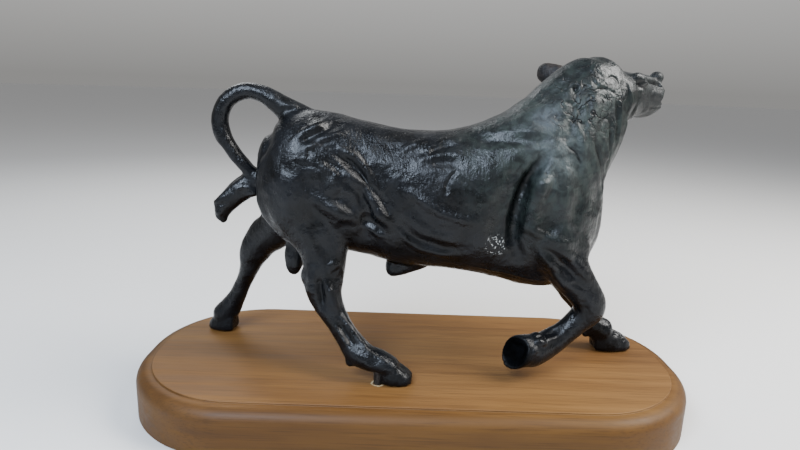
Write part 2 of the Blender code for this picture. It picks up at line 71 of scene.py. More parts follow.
def addCamera():
    right, up, ahead = cameraAxes()
    data = bpy.data.cameras.new("camera")
    data.sensor_width = camera["sensor"]
    data.lens = camera["focalPixels"] * camera["sensor"] / camera["imageWidth"]
    data.clip_start = camera["clipStart"]
    item = bpy.data.objects.new("camera", data)
    bpy.context.scene.collection.objects.link(item)
    item.matrix_world = Matrix((
        (right.x, up.x, -ahead.x, camera["place"][0]),
        (right.y, up.y, -ahead.y, camera["place"][1]),
        (right.z, up.z, -ahead.z, camera["place"][2]),
        (0, 0, 0, 1),
    ))
    bpy.context.scene.camera = item


addCamera()


# Small helpers
def makeObject(name, bm):
    bmesh.ops.recalc_face_normals(bm, faces=bm.faces[:])
    mesh = bpy.data.meshes.new(name)
    bm.to_mesh(mesh)
    bm.free()
    item = bpy.data.objects.new(name, mesh)
    bpy.context.scene.collection.objects.link(item)
    return item


def applyModifiers(item):
    graph = bpy.context.evaluated_depsgraph_get()
    mesh = bpy.data.meshes.new_from_object(item.evaluated_get(graph), depsgraph=graph)
    item.modifiers.clear()
    item.data = mesh


def joinMesh(bm, other):
    mesh = bpy.data.meshes.new("scratch")
    other.to_mesh(mesh)
    other.free()
    bm.from_mesh(mesh)
    bpy.data.meshes.remove(mesh)


def skinRings(bm, rings):
    # Faces from ring to ring, and one across each end
    for a, b in zip(rings, rings[1:]):
        for k in range(len(a)):
            n = (k + 1) % len(a)
            bm.faces.new((a[k], a[n], b[n], b[k]))
    bm.faces.new(rings[0][::-1])
    bm.faces.new(rings[-1])


# Lofted masses: every row is a section's middle, half thickness across the tube, half width sideways
capAngles = (30, 55, 75)       # the rings that round off a tube's end


def curveThrough(stations, steps):
    rows = np.array(stations, dtype=float)
    padded = np.vstack([2 * rows[0] - rows[1], rows, 2 * rows[-1] - rows[-2]])
    found = []
    for i in range(1, len(padded) - 2):
        a, b, c, d = padded[i - 1:i + 3]
        for k in range(steps):
            t = k / steps
            found.append(0.5 * (2 * b + (c - a) * t + (2 * a - 5 * b + 4 * c - d) * t ** 2
                                + (3 * b - a - 3 * c + d) * t ** 3))
    found.append(rows[-1])
    return np.array(found)


def sectionRing(bm, middle, up, side, halfUp, halfSide, sides, squareness):
    verts = []
    for k in range(sides):
        angle = 2 * math.pi * k / sides
        c = math.copysign(abs(math.cos(angle)) ** (2 / squareness), math.cos(angle))
        s = math.copysign(abs(math.sin(angle)) ** (2 / squareness), math.sin(angle))
        verts.append(bm.verts.new(middle + up * halfUp * c + side * halfSide * s))
    return verts


def endRings(bm, middle, along, up, side, row, sides, squareness, roundness):
    found = []
    reach = roundness * min(row[3], row[4])
    for angle in capAngles:
        shrink = math.cos(math.radians(angle))
        place = middle + along * reach * math.sin(math.radians(angle))
        found.append(sectionRing(bm, place, up, side, row[3] * shrink, row[4] * shrink, sides, squareness))
    return found


def loft(bm, stations, sideAxis=(0, 1, 0), steps=4, sides=28, squareness=2.0, straight=None, roundness=0.7):
    rows = curveThrough(stations, steps)
    points = [Vector(row[:3]) for row in rows]
    rings = []
    for i, row in enumerate(rows):
        ahead = points[min(i + 1, len(points) - 1)]
        behind = points[max(i - 1, 0)]
        along = Vector(straight or ahead - behind).normalized()
        side = Vector(sideAxis)
        side = (side - along * side.dot(along)).normalized()
        up = along.cross(side)
        shape = (sides, squareness)
        if i == 0:
            rings += endRings(bm, points[i], -along, up, side, row, *shape, roundness)[::-1]
        rings.append(sectionRing(bm, points[i], up, side, row[3], row[4], *shape))
        if i == len(rows) - 1:
            rings += endRings(bm, points[i], along, up, side, row, *shape, roundness)
    skinRings(bm, rings)


def lump(bm, middle, radii, pitch=0):
    turn = Matrix.Rotation(math.radians(-pitch), 4, "Y")
    place = Matrix.Translation(Vector(middle)) @ turn @ Matrix.Diagonal((*radii, 1))
    around, down = bull["lumpSegments"]
    bmesh.ops.create_uvsphere(bm, u_segments=around, v_segments=down, radius=1, matrix=place)


# The bull's masses, in millimetres
bull = {
    "height": 0.2315,          # hoof sole to the top of the neck
    "drawnHeight": 231.5,      # the height that the tables are drawn at
    "baseTop": 0.0355,
    "hoofGap": 0.0003,
    "midline": -4.0,
    "voxel": 0.00105,
    "triangles": 190000,       # left after the thinning
    "smoothing": {"masses": 7, "chest": 60, "deepCuts": 2, "fineCuts": 1, "factor": 0.5},
    "softChest": {"behind": 88, "halfWidth": 40, "low": 84, "high": 200, "headStarts": 8},
    "lumpSegments": (24, 14),
    "trunk": [                 # x, top, bottom, half width
        (-106, 172, 122, 18), (-102, 180, 107, 27), (-93, 186, 97, 34), (-80, 189, 91, 37),
        (-60, 187, 87, 36), (-38, 182, 84, 34.5), (-15, 178, 78, 36.5), (10, 177, 76, 39),
        (35, 181, 74, 40), (58, 191, 70, 39.5), (80, 205, 64, 38), (98, 208, 63, 36),
        (112, 192, 67, 32), (120, 167, 80, 24),
    ],
    "neck": [
        (80, -4, 136, 54, 39), (90, -4, 152, 45, 37.5), (101, -3, 171, 40.5, 33.5),
        (113, 0, 190, 36.5, 29), (123.5, 4, 205.5, 30.5, 26), (130, 7, 211.5, 24, 23),
    ],
    "hindRight": [
        (-80, -16, 140, 35, 20), (-74, -20, 116, 30.5, 18.5), (-68, -24, 95, 20, 14.5),
        (-66, -27, 80, 15.5, 11.5), (-66.5, -29, 67, 14.3, 10.5), (-64.5, -31, 56, 12.2, 9.5),
        (-57.5, -34, 43, 9.2, 8.2), (-49, -38, 31, 8.6, 7.8), (-41, -41.5, 21, 10, 9.5),
        (-33, -44.5, 16.5, 9.4, 9.8), (-24, -46, 14.6, 8.4, 9.8), (-15, -46.5, 10.5, 7, 9.4),
    ],
    "hindLeft": [
        (-90, 8, 140, 30, 20), (-95, 13, 116, 24.5, 17), (-107, 20, 98, 18, 13.5),
        (-123, 26, 83, 14.6, 11), (-131.5, 29, 70, 12, 9.8), (-136, 31, 57, 8.2, 8.2),
        (-141.5, 33, 44, 6.8, 7.2), (-147.5, 34.5, 31, 7.2, 7.4), (-153, 36, 21.5, 9, 8.6),
        (-160.5, 37, 11.6, 10.2, 9.6),
    ],
    "foreRight": [
        (96, -20, 125, 26, 18), (101, -24, 102, 22.5, 15.5), (108, -27, 86, 17.5, 13),
        (118, -28, 72, 13.5, 11), (127, -28, 60, 12, 10.5), (128, -27.5, 51, 11.5, 10),
        (121, -27, 42, 9.4, 8.6), (111, -28, 32.6, 9.2, 8.2), (101, -30.5, 26.4, 10.2, 9),
        (92, -34, 22.6, 11.6, 10.6), (85, -37, 21, 11.2, 10.6),
    ],
    "foreLeft": [
        (96, 12, 115, 24, 17), (103, 15, 92, 20, 13.5), (112, 17, 75, 15, 12),
        (123, 18, 60, 12, 10.2), (131, 19, 50, 12, 10), (137.5, 20, 39, 8.8, 8.2),
        (142.5, 21, 29, 8, 8), (149, 21, 21, 9.6, 9), (158, 21.2, 15, 10.6, 9.8),
    ],
    "hooves": [                # heel, toe, side of the shin, half width, height
        ((-22, -46, 0.3), (0, -47.5, 0.3), (-0.2, 0, 1), 10.4, 15),
        ((-150, 35, 0.3), (-172.5, 38, 0.3), (0.2, 0, 1), 9.6, 18),
        ((151, 21, 0.3), (182, 22, 0.3), (-0.2, 0, 1), 10, 19),
    ],
    "liftedHoof": {            # a tube towards the leg, cut off along the sole
        "rows": [(62, -45, 20, 11, 10.4), (74, -40.5, 22.2, 12.2, 11), (86, -36.5, 22.8, 11.6, 10.6)],
        "sole": (73, -41, 22.4), "outwards": (-0.74, -0.6, 0.3),
    },
    "claw": [                  # share of the hoof's length, its width there, its height there
        (0.0, 0.78, 0.86), (0.3, 1.0, 1.0), (0.6, 0.97, 0.78), (0.85, 0.8, 0.56), (1.0, 0.52, 0.36),
    ],
    "clawFlare": 1.06,
    "clawWall": [              # outer wall from the sole up: share of its width and of its height
        (0.9, 0.0), (1.0, 0.18), (0.86, 0.66), (0.5, 1.0),
    ],
    "cleft": 0.07,             # half the gap between the claws, in half widths
    "cleftHeight": 0.96,
    "dewclaws": [              # middle and size of the small claws above each hoof
        ((-47, -37.5, 15), (3.6, 2.8, 4.4)), ((-45, -46.5, 14), (3.6, 2.8, 4.4)),
        ((-148.5, 32, 17), (2.8, 2.6, 3.6)), ((-148.5, 39.5, 17), (2.8, 2.6, 3.6)),
        ((90, -34, 32.6), (5, 3, 4)), ((91.5, -41.5, 30.6), (4.6, 2.8, 3.6)),
        ((143.5, 17, 15), (3.4, 2.8, 4.6)), ((143.5, 25.5, 15), (3.4, 2.8, 4.6)),
    ],
    "joints": [                # knees, hocks and fetlocks: middle, radii, pitch
        ((131, -28, 57), (7.5, 9.5, 10), -10), ((-77, -29, 71), (6.5, 6.5, 9), 10),
        ((-134, 29, 73), (8, 8, 9), 30), ((136, 19, 49), (7, 9, 10), -40),
    ],
    "tail": [
        (-76, -4, 174, 13, 10), (-88, -4, 182, 11, 9.5), (-100, -4, 190.6, 8.4, 8.4),
        (-113, -4, 198.3, 6.6, 7), (-126, -4, 200.4, 6.2, 6.4), (-138.5, -4, 194, 6.2, 6.4),
        (-144.8, -4, 181, 6.2, 6.4), (-142.8, -4, 167, 6.2, 6.2), (-135, -4, 154, 6, 6),
        (-127, -3, 144, 6, 6.6), (-121, -2, 134, 6.8, 7.2),
    ],
    "tuft": [
        (-113, -2, 138.5, 9, 7.6), (-124, -2, 134, 10, 8), (-135, -3, 127, 9.6, 8.6),
        (-144, -4, 117.5, 8.4, 8), (-147.5, -4.5, 108, 5.4, 5.6),
    ],
    "locks": [                 # strands that make the tuft wavy: middle, radii, pitch
        ((-149.5, -5, 118), (3.6, 4.5, 5.5), 30), ((-146, -5, 106.5), (3.8, 4, 4.6), 70),
        ((-133, -7, 131), (10, 4.5, 4.2), 38), ((-139, -1, 120), (9, 4.5, 4), 46),
        ((-123, -6, 128), (7, 4.5, 4.4), 12),
    ],
    "leftEar": [
        (122, 24, 215, 5, 5.5), (112, 30, 218, 4.8, 6.8), (103, 36, 220.3, 4.2, 8),
        (96.5, 40, 221, 3.8, 8), (93.5, 42.5, 221, 3.2, 6),
    ],
    "rightEar": [
        (138, -5, 214, 5, 5), (127, -12, 214, 4.6, 4.6), (115, -17.5, 211, 4.6, 4.2),
        (105, -20.5, 207.5, 3.6, 3.4),
    ],
    "muscles": [               # middle, radii, pitch
        ((-78, -21, 138), (36, 20, 46), -12), ((-82, 13, 138), (34, 20, 46), 12),
        ((92, -23, 142), (26, 20, 44), 14), ((92, 15, 142), (26, 20, 44), 14),
        ((98, -28, 103), (19, 16, 24), -14), ((98, 16, 100), (19, 15, 24), -14),
        ((108, -20, 128), (17, 17, 34), 8), ((108, 12, 128), (17, 17, 34), 8),
        ((140, -1, 205), (14.5, 14, 17), 0), ((112, -4, 96), (14, 15, 26), 0),
        ((104, -4, 160), (20, 26, 34), 20),
    ],
    "underside": [             # sheath and scrotum
        ((-92.5, -3, 78.5), (7.6, 5.4, 15.5), 0), ((-92.5, 5, 78.5), (7.6, 5.4, 15), 0),
        ((-90, 0, 92), (10, 9, 15), 0), ((-16.5, -5, 74), (6.5, 6.4, 9), 0),
    ],
    "sheath": [
        (-18.5, -5, 70.5, 5.4, 5.4), (-10, -5, 73.5, 6.6, 6.4), (6, -5, 80, 7, 7.4),
    ],
}

# The head, in its own frame: s is the distance from the poll towards the nose, y to the head's left
head = {
    "place": (132, 11, 208),
    "yaw": 38,
    "pitch": -1,
    "sections": [              # s, top, bottom from the axis, half width
        (-7, 12, 18, 16), (2, 15, 23, 20), (12, 16.4, 23, 22), (21, 16, 20, 21.2),
        (30, 15.6, 18, 18.6), (39, 15.4, 17.2, 17), (48, 15, 17, 16.6), (56, 13, 17.4, 16.8),
        (62, 10, 16.4, 15.2),
    ],
    "centred": [               # middle, radii, pitch
        ((1, 0, 11.5), (13, 17, 7), 0), ((57.5, 0, -8), (9, 15.5, 9), 0), ((54, 0, -13.5), (9, 12, 5), 0),
        ((60.5, -8.2, 13.2), (6, 5.4, 5), 0), ((60.5, 8.2, 10.4), (6, 5.4, 5), 0),
    ],
    "paired": [                # as above, one each side
        ((20, 17, 10), (9, 5.5, 5), -10), ((10, 13, -7), (14, 9, 15), 0), ((57.5, 9.5, 3), (7.6, 8, 7), 10),
        ((22.5, 20, 4.6), (4.6, 2.8, 3.4), 0),
    ],
    "strokes": [
        (0, 1.0, 3.4, [(33, 14), (44, 14), (52, 13)]),
        (0, -2.8, 2.2, [(40, 9.6), (48, 9), (56, 8)]),
        (0, 1.3, 5.0, [(46, 1), (56, -1)]),
        (0, -0.7, 1.3, [(46, -10), (56, -9.5), (66, -8)]),
        (0, -1.5, 4.0, [(16, 6.4), (28, 2)]),
        (0, 1.1, 1.8, [(18, 6), (22.5, 8.2), (27, 5.6)]),
        (0, 1.0, 1.6, [(18.5, 2.8), (22.5, 1), (27, 2.6)]),
        (0, 1.2, 6, [(10, -9), (16, -16)]),
        (0, -1.2, 4, [(30, -3), (37, -8), (40, -12)]),
        (0, -0.6, 1.2, [(43, 3.4), (44.4, 1.4), (43.6, -1)]),
    ],
    "face": {"from": 12, "halfWidth": 27, "lowest": -33},  # where the head's own strokes hold
    "front": 45,               # the front strokes lie beyond this s
    "frontStrokes": [          # seen from the nose: across, up
        (1, -4.0, 3.0, [(-16, 7), (-7, 6.4)]), (1, -4.0, 3.0, [(16, 7), (7, 6.4)]),
        (1, -1.5, 2.2, [(-15, -4.5), (0, -6.5), (15, -4.5)]), (1, -0.7, 1.4, [(0, 7), (0, -5)]),
        (1, 1.0, 2.4, [(-12, -9), (0, -10.5), (12, -9)]), (1, 0.9, 2.2, [(-4, 6), (-4, -2)]),
        (1, 0.9, 2.2, [(4, 6), (4, -2)]),
    ],
}

# Carving in the side view: side (-1 right, 1 left, 0 both), height (+ raised, - cut), half width,
# and the route (x, height above the base)
deepCuts = [
    (-1, -6.2, 7.0, [(82, 163), (77.5, 156), (72.5, 146), (69, 134), (66.5, 120), (67, 104), (72, 92)]),
    (-1, -4.2, 15, [(73, 156), (66, 144), (60, 130), (58, 114), (64, 98)]),
    (-1, 1.8, 7, [(88, 160), (82, 148), (79, 132), (78, 118), (82, 104)]),
    (1, -4.4, 8, [(80, 160), (73, 149), (67, 131), (65, 117), (68, 102)]),
    (0, 2.4, 9, [(83, 152), (87, 143), (84, 133)]),
    (0, 2.2, 10, [(80, 122), (84, 108), (92, 98)]),
    (0, -1.6, 6, [(101, 168), (111, 146), (108, 118)]),
    (0, 1.6, 9, [(99, 150), (98, 128), (100, 108)]),
    (0, 1.6, 12, [(92, 178), (88, 166)]),
    (0, 1.4, 9, [(-70, 178), (-40, 178), (0, 171), (34, 172)]),
    (-1, -2.5, 5, [(-60, 164), (-49.3, 156), (-42.2, 148.8), (-35.2, 141), (-28.1, 132.4), (-22, 120)]),
    (-1, -1.6, 12, [(-50, 164), (-36, 150), (-24, 134), (-18, 118)]),
    (1, -2.2, 8, [(-56, 164), (-40, 152), (-27, 134), (-24, 118)]),
    (-1, 2.0, 6, [(-38, 142), (-28, 128), (-20, 112)]),
    (0, -2.4, 7, [(-40, 142), (-33, 124), (-38, 104)]),
    (0, 2.6, 15, [(-54, 132), (-52, 112)]),
    (0, 2.0, 13, [(-92, 150), (-88, 122)]),
    (0, -1.5, 7, [(-78, 152), (-72, 128), (-70, 108)]),
    (1, -1.5, 7, [(28, 174), (54, 175), (80, 172)]),
    (0, 1.2, 9, [(70, 182), (82, 176)]),
    (0, -1.2, 6, [(-6, 128), (12, 113), (34, 109)]),
    (0, 2.0, 8, [(118, 213), (116, 192), (112, 168)]),
    (0, -1.6, 7, [(104, 205), (101, 188), (97, 172)]),
    (0, 1.6, 9, [(-76, 84), (-72, 68)]),
    (1, -1.4, 6, [(-15, 117), (-1, 103), (20, 97)]),
    (1, 1.3, 6, [(-2, 134), (15, 121), (38, 117)]),
    (1, 1.4, 6, [(92, 94), (104, 81), (115, 67)]),
    (1, 1.6, 6, [(97, 216), (112, 215)]),
    (1, -2.0, 4.5, [(98, 220), (110, 218)]),
]

# Finer carving that the photograph shows: side, height and half width in millimetres as above, then the
# route in the photograph's pixels. photoRoute() finds where each point lies on the bull.
photoCuts = {
    "tail root ridge": (-1, 0.7, 3.8, [(301, 108), (281, 104)]),
    "tail root groove": (-1, -0.7, 3.8, [(302, 110), (281, 110)]),
    "tail root lower ridge": (-1, 0.7, 3.8, [(301, 112), (285, 117)]),
    "haunch ridge": (-1, 1.4, 4.9, [(293, 143), (303, 134), (318, 126), (328, 121)]),
    "haunch groove": (-1, -2.5, 6.4, [(297, 143), (312, 136), (330, 128), (341, 123)]),
    "haunch lower ridge": (-1, 1.6, 4.9, [(302, 147), (318, 139), (332, 133), (342, 131)]),
    "haunch short groove": (-1, -0.8, 3.5, [(310, 142), (328, 142)]),
    "hip line": (-1, -0.7, 1.8, [(309, 147), (308, 160)]),
    "hip cross line": (-1, -0.7, 1.8, [(301, 166), (313, 166)]),
    "thigh upper groove": (-1, -1.6, 4.3, [(323, 160), (333, 166), (344, 175)]),
    "thigh upper ridge": (-1, 1, 3.8, [(321, 165), (333, 171), (341, 175)]),
    "flank edge": (-1, 1.8, 4.3, [(341, 150), (356, 157), (366, 169), (373, 182), (381, 197)]),
    "flank fold": (-1, 2.5, 6.4, [(344, 170), (355, 178), (365, 186), (371, 199), (379, 214), (388, 227)]),
    "thigh bulge": (-1, 1.7, 14.4, [(328, 180), (342, 188)]),
    "thigh hollow": (-1, -1.8, 7.2, [(333, 194), (348, 204), (357, 213)]),
    "thigh band": (-1, 2.2, 7.2, [(308, 194), (325, 206), (338, 213), (353, 219)]),
    "stifle": (-1, 1, 4.3, [(334, 220), (337, 229)]),
    "groin groove": (-1, -1.8, 5.8, [(360, 216), (374, 225), (386, 230)]),
    "groin ridge": (-1, 1.4, 4.1, [(365, 226), (373, 229), (384, 239)]),
    "thigh line": (-1, -0.7, 3.5, [(360, 195), (361, 211)]),
    "thigh rear ridge": (-1, 0.8, 5.8, [(287, 213), (297, 226), (308, 238)]),
    "gaskin groove": (-1, -1.4, 5.8, [(316, 234), (326, 254), (340, 282)]),
    "gaskin bulge": (-1, 1.8, 6, [(330, 262), (337, 270)]),
    "hock point": (-1, 1.3, 6.5, [(309, 284), (311, 295)]),
    "hock groove": (-1, -3.0, 3.8, [(319, 276), (320, 290), (323, 308)]),
    "hock ridge": (-1, 2.4, 4.6, [(327, 284), (332, 298), (336, 311)]),
    "cannon groove": (-1, -2.5, 3.8, [(338, 322), (345, 334), (353, 347)]),
    "cannon ridge": (-1, 2.1, 4.2, [(344, 317), (353, 329), (363, 341), (372, 353)]),
    "cannon rear ridge": (-1, 1, 3.2, [(337, 328), (343, 337), (349, 347)]),
    "fetlock hollow": (-1, -1, 5.1, [(368, 357), (378, 366)]),
    "hoof wall": (-1, 0.8, 4.9, [(389, 362), (404, 378)]),
    "back rear ridge": (-1, 1, 3.5, [(400, 152), (413, 145), (430, 140)]),
    "back middle ridge": (-1, 1, 3.5, [(422, 160), (430, 148), (441, 142), (458, 138)]),
    "back middle groove": (-1, -1, 3.8, [(426, 155), (437, 148), (456, 144)]),
    "back lower ridge": (-1, 1, 5, [(418, 162), (432, 156), (450, 153), (466, 153)]),
    "back lower groove": (-1, -1.2, 4.6, [(428, 164), (447, 162), (460, 165)]),
    "side band": (-1, -2, 6.4, [(465, 138), (490, 140), (520, 140), (562, 141)]),
    "rib fork": (-1, -1.4, 1.9, [(458, 169), (452, 176), (447, 184), (446, 193)]),
    "rib arc": (-1, -0.5, 2, [(458, 177), (470, 185), (481, 197)]),
    "rib ridge": (-1, 1.8, 4.9, [(408, 192), (425, 203), (440, 213), (455, 218), (474, 223)]),
    "belly groove": (-1, -1.8, 5.8, [(398, 219), (410, 235), (425, 243), (445, 248), (464, 250)]),
    "belly ridge": (-1, 1.4, 4.3, [(400, 233), (418, 247), (440, 254), (456, 255)]),
    "shoulder oval": (-1, 2.6, 8.4, [(543, 178), (538, 197)]),
    "shoulder pit": (-1, -1.4, 2.4, [(545, 172), (548, 173)]),
    "shoulder oval groove": (-1, -1.2, 4.3, [(553, 187), (543, 204)]),
    "rib bump": (-1, 1, 4.9, [(503, 186), (515, 182)]),
    "rib groove": (-1, -0.8, 4.3, [(504, 176), (521, 174)]),
    "casting seam": (-1, 0.6, 1.4, [(470, 266), (500, 271), (530, 279), (545, 281)]),
    "arm ridge": (-1, 1.3, 4.6, [(522, 226), (545, 236), (572, 244)]),
    "forearm rear ridge": (-1, 2.2, 4.9, [(544, 256), (555, 272), (566, 287), (574, 292)]),
    "forearm groove": (-1, -2.5, 4.9, [(543, 249), (556, 258), (568, 270), (580, 283)]),
    "forearm front ridge": (-1, 1.8, 5.5, [(560, 246), (575, 262), (590, 278), (600, 291)]),
    "forearm line": (-1, -0.8, 1.8, [(573, 283), (586, 291)]),
    "knee edge": (-1, -0.8, 3.8, [(584, 298), (586, 312)]),
    "neck ridge": (-1, 1, 3.8, [(571, 118), (581, 135), (587, 156)]),
    "neck line": (-1, -1.2, 1.8, [(567, 145), (576, 152), (582, 165)]),
    "first fold": (-1, 1, 3.2, [(591, 148), (597, 170), (600, 192), (600, 213)]),
    "first fold groove": (-1, -1.3, 2, [(595, 140), (602, 166), (603, 184)]),
    "second fold": (-1, 1.3, 2, [(604, 138), (609, 161), (602, 196)]),
    "third fold": (-1, 1.3, 2, [(615, 118), (614, 146)]),
    "third fold groove": (-1, -1.3, 1.8, [(610, 120), (611, 147), (604, 178)]),
    "fourth fold": (-1, 1.3, 2, [(621, 92), (621, 118), (616, 148)]),
    "fourth fold groove": (-1, -1.2, 1.8, [(617, 96), (617, 120), (613, 151)]),
    "throat fold": (-1, 0.9, 1.8, [(627, 80), (632, 100), (627, 118)]),
    "nape hollow": (-1, -1.6, 5.8, [(554, 99), (559, 88), (571, 78), (586, 67)]),
    "crest groove": (-1, -1, 4.3, [(527, 107), (540, 98), (553, 90)]),
    "neck hole": (-1, -2.6, 2.9, [(573, 88), (577, 89)]),
    "neck hole rim": (-1, 1.1, 1.8, [(569, 88), (572, 84), (576, 82), (580, 85), (581, 90)]),
    "front curl": (-1, -0.9, 1.3, [(585, 93), (590, 91), (594, 93), (597, 90), (602, 88), (607, 89)]),
    "top curl": (-1, -0.9, 1.3, [(607, 80), (612, 76), (616, 78), (619, 84)]),
    "rear curl": (-1, -0.9, 1.3, [(573, 111), (577, 106), (580, 111), (580, 118)]),
    "rear lower curl": (-1, -0.8, 1.3, [(569, 118), (573, 121), (577, 118)]),
    "middle curl": (-1, -0.8, 1.3, [(580, 113), (585, 108), (590, 107), (588, 102)]),
    "ring curl": (-1, -0.8, 1.2, [(586, 98), (589, 94), (593, 96), (592, 101), (588, 102)]),
    "ear curl": (-1, -0.8, 1.2, [(592, 80), (597, 84), (603, 80)]),
    "front curl bump": (-1, 0.9, 2.6, [(598, 83), (603, 85)]),
    "top curl bump": (-1, 0.8, 2.4, [(590, 84), (592, 88)]),
    "low curl bump": (-1, 0.8, 2.4, [(586, 104), (584, 110)]),
    "almond mark": (-1, -0.7, 1.2, [(553, 118), (558, 115), (564, 117), (559, 120), (553, 118)]),
    "tail upper bump": (-1, 0.7, 3.2, [(222, 132), (223, 132)]),
    "tail middle bump": (-1, 0.7, 3.2, [(226, 139), (227, 139)]),
    "tail lower bump": (-1, 0.7, 3.2, [(234, 149), (235, 149)]),
    "tail strand": (-1, 0.8, 1.8, [(240, 157), (253, 170)]),
    "tuft curve": (-1, 1, 1.8, [(235, 191), (242, 187), (252, 189)]),
    "tuft ridge": (-1, 0.8, 3.2, [(215, 201), (223, 196)]),
    "tuft groove": (-1, -1, 2, [(218, 205), (226, 203)]),
    "tuft tip ridge": (-1, 0.8, 3.2, [(217, 211), (222, 215)]),
    "lifted dewclaw": (-1, 1.2, 3.5, [(535, 339), (539, 341)]),
    "lifted pastern ridge": (-1, 1.2, 3.2, [(546, 343), (556, 337)]),
    "lifted pastern hollow": (-1, -1.2, 4.3, [(548, 335), (560, 328)]),
    "lifted hoof bump": (-1, 1, 4.3, [(533, 350), (537, 353)]),
    "far hoof upper bump": (0, 0.8, 3.6, [(600, 326), (601, 326)]),
    "far hoof middle bump": (0, 0.8, 3.6, [(609, 332), (610, 332)]),
    "far hoof lower bump": (0, 0.8, 3.6, [(616, 339), (617, 339)]),
    "far hock": (1, 1, 4.3, [(247, 246), (250, 256)]),
}

# Finer carving in the side view's millimetres, mostly on the hidden side
fineCuts = [
    (-1, -2.4, 5.5, [(81, 161), (75, 150), (70.5, 138), (68, 124), (68, 110)]),  # behind the shoulder
    (-1, 1.4, 6, [(114, 106), (126, 92)]),                    # bulge at the front of the chest
    (1, -1.1, 4, [(-70, 105), (-64, 91), (-54, 69)]),         # gaskin
    (1, 1.0, 3.5, [(-21, 163), (-8, 158), (5, 161)]),         # back
    (1, 1.2, 4, [(-75, 168), (-63, 174), (-50, 177)]),        # haunch ridge
    (1, -1.0, 4, [(-67, 160), (-57, 150), (-52, 136)]),       # thigh
    (1, 1.0, 3, [(114, 171), (122, 155), (129, 139), (131, 123)]),  # neck fold
    (1, -0.9, 3, [(125, 177), (130, 160), (128, 140)]),       # neck fold
    (1, -1.0, 3, [(-116, 92), (-128, 76), (-140, 52)]),       # far hind leg
    (1, 1.0, 3, [(104, 96), (118, 76), (130, 58)]),           # far foreleg
    (1, -1.0, 2.6, [(132, 60), (128, 48)]),                   # far knee
]

# Carving seen from the front and from behind: side 1 faces +X, -1 faces -X; route (y, height)
chestCuts = [
    (1, -2.2, 7, [(-4, 150), (-4, 118)]),
    (1, 2.2, 9, [(-4, 112), (-4, 88)]),
    (1, -1.6, 6, [(-24, 132), (-19, 108), (-17, 90)]), (1, -1.6, 6, [(16, 132), (11, 108), (9, 90)]),
    (1, 1.5, 8, [(-26, 120), (-27, 100)]), (1, 1.5, 8, [(18, 120), (19, 98)]),
    (1, 1.2, 5, [(-9, 186), (-10, 150)]), (1, 1.2, 5, [(4, 186), (3, 150)]),
]
rumpCuts = [
    (-1, -3.0, 7, [(-4, 158), (-4, 104)]),
    (-1, 1.6, 9, [(-20, 150), (-22, 116)]), (-1, 1.6, 9, [(12, 150), (14, 116)]),
    (-1, -1.4, 6, [(-30, 128), (-28, 104)]), (-1, -1.4, 6, [(22, 128), (22, 104)]),
]

# The lifted hoof's hollow sole, seen from behind
soleCuts = [(-1, -6.5, 8.4, [(-41.4, 25.6), (-41.8, 19.6)])]

# How far those three reach along x, and how a stroke fades
carving = {
    "chestFrom": 60,
    "rumpTo": -60,
    "soleFrom": 50,
    "soleTo": 90,
    "facing": (0.1, 0.4),      # share of the normal where a stroke starts, and over which it grows
    "overlap": 1,              # millimetres past the midline
    "endHeight": 0.3,          # a tapered stroke's height at its very ends
    "taper": 3,                # and how fast it grows from there
}

# Hand-modelled unevenness: size of the waves and their height, then the places where it changes
surface = {
    "waves": [(13, 0.5), (5, 0.16)],
    "onHead": 0.2,             # how much of the waves the head keeps
    "breakShift": 100,         # moves the second noise away from the first
    "breakContrast": 4,
    "breakMean": 0.6,
    # size is the first noise's, line the width of its line, breaks the second noise's size
    "curls": {"middle": (114, -24, 207), "reach": 30, "fade": 10, "size": 7.5, "line": 0.08, "height": -0.8,
              "breaks": 11},
    "pits": {"middle": (56, -44, 101), "reach": 8, "fade": 3, "size": 2.2, "line": 0.13, "height": -1.1,
             "breaks": 6},
}


def headFrame():
    forward = Matrix.Rotation(math.radians(head["yaw"]), 3, "Z") @ Matrix.Rotation(
        math.radians(-head["pitch"]), 3, "Y")
    place = forward.to_4x4()
    place.translation = Vector(head["place"])
    return place


def addHead(bm):
    other = bmesh.new()
    rows = [(s, 0, (top - low) / 2, (top + low) / 2, half) for s, top, low, half in head["sections"]]
    loft(other, rows, squareness=2.4, straight=(1, 0, 0), roundness=0.5)
    for middle, radii, pitch in head["centred"]:
        lump(other, middle, radii, pitch)
    for middle, radii, pitch in head["paired"]:
        for side in (-1, 1):
            lump(other, (middle[0], middle[1] * side, middle[2]), radii, pitch)
    bmesh.ops.transform(other, matrix=headFrame(), verts=other.verts[:])
    joinMesh(bm, other)


def addClaw(bm, heel, toe, along, side, up, half, height):
    length = (toe - heel).length
    rings = []
    for share, wide, tall in bull["claw"]:
        foot = heel + along * length * share
        inner = side * half * bull["cleft"]
        outer = side * half * wide * bull["clawFlare"]
        top = up * height * tall
        wall = [foot + outer * across + top * rise for across, rise in bull["clawWall"]]
        profile = [foot + inner, *wall, foot + inner + top * bull["cleftHeight"]]
        rings.append([bm.verts.new(point) for point in profile])
    skinRings(bm, rings)


def addLiftedHoof(bm):
    hoof = bull["liftedHoof"]
    other = bmesh.new()
    loft(other, hoof["rows"])
    everything = other.verts[:] + other.edges[:] + other.faces[:]
    bmesh.ops.bisect_plane(other, geom=everything, plane_co=hoof["sole"], plane_no=hoof["outwards"],
                           clear_outer=True)
    bmesh.ops.holes_fill(other, edges=[edge for edge in other.edges if edge.is_boundary])
    joinMesh(bm, other)


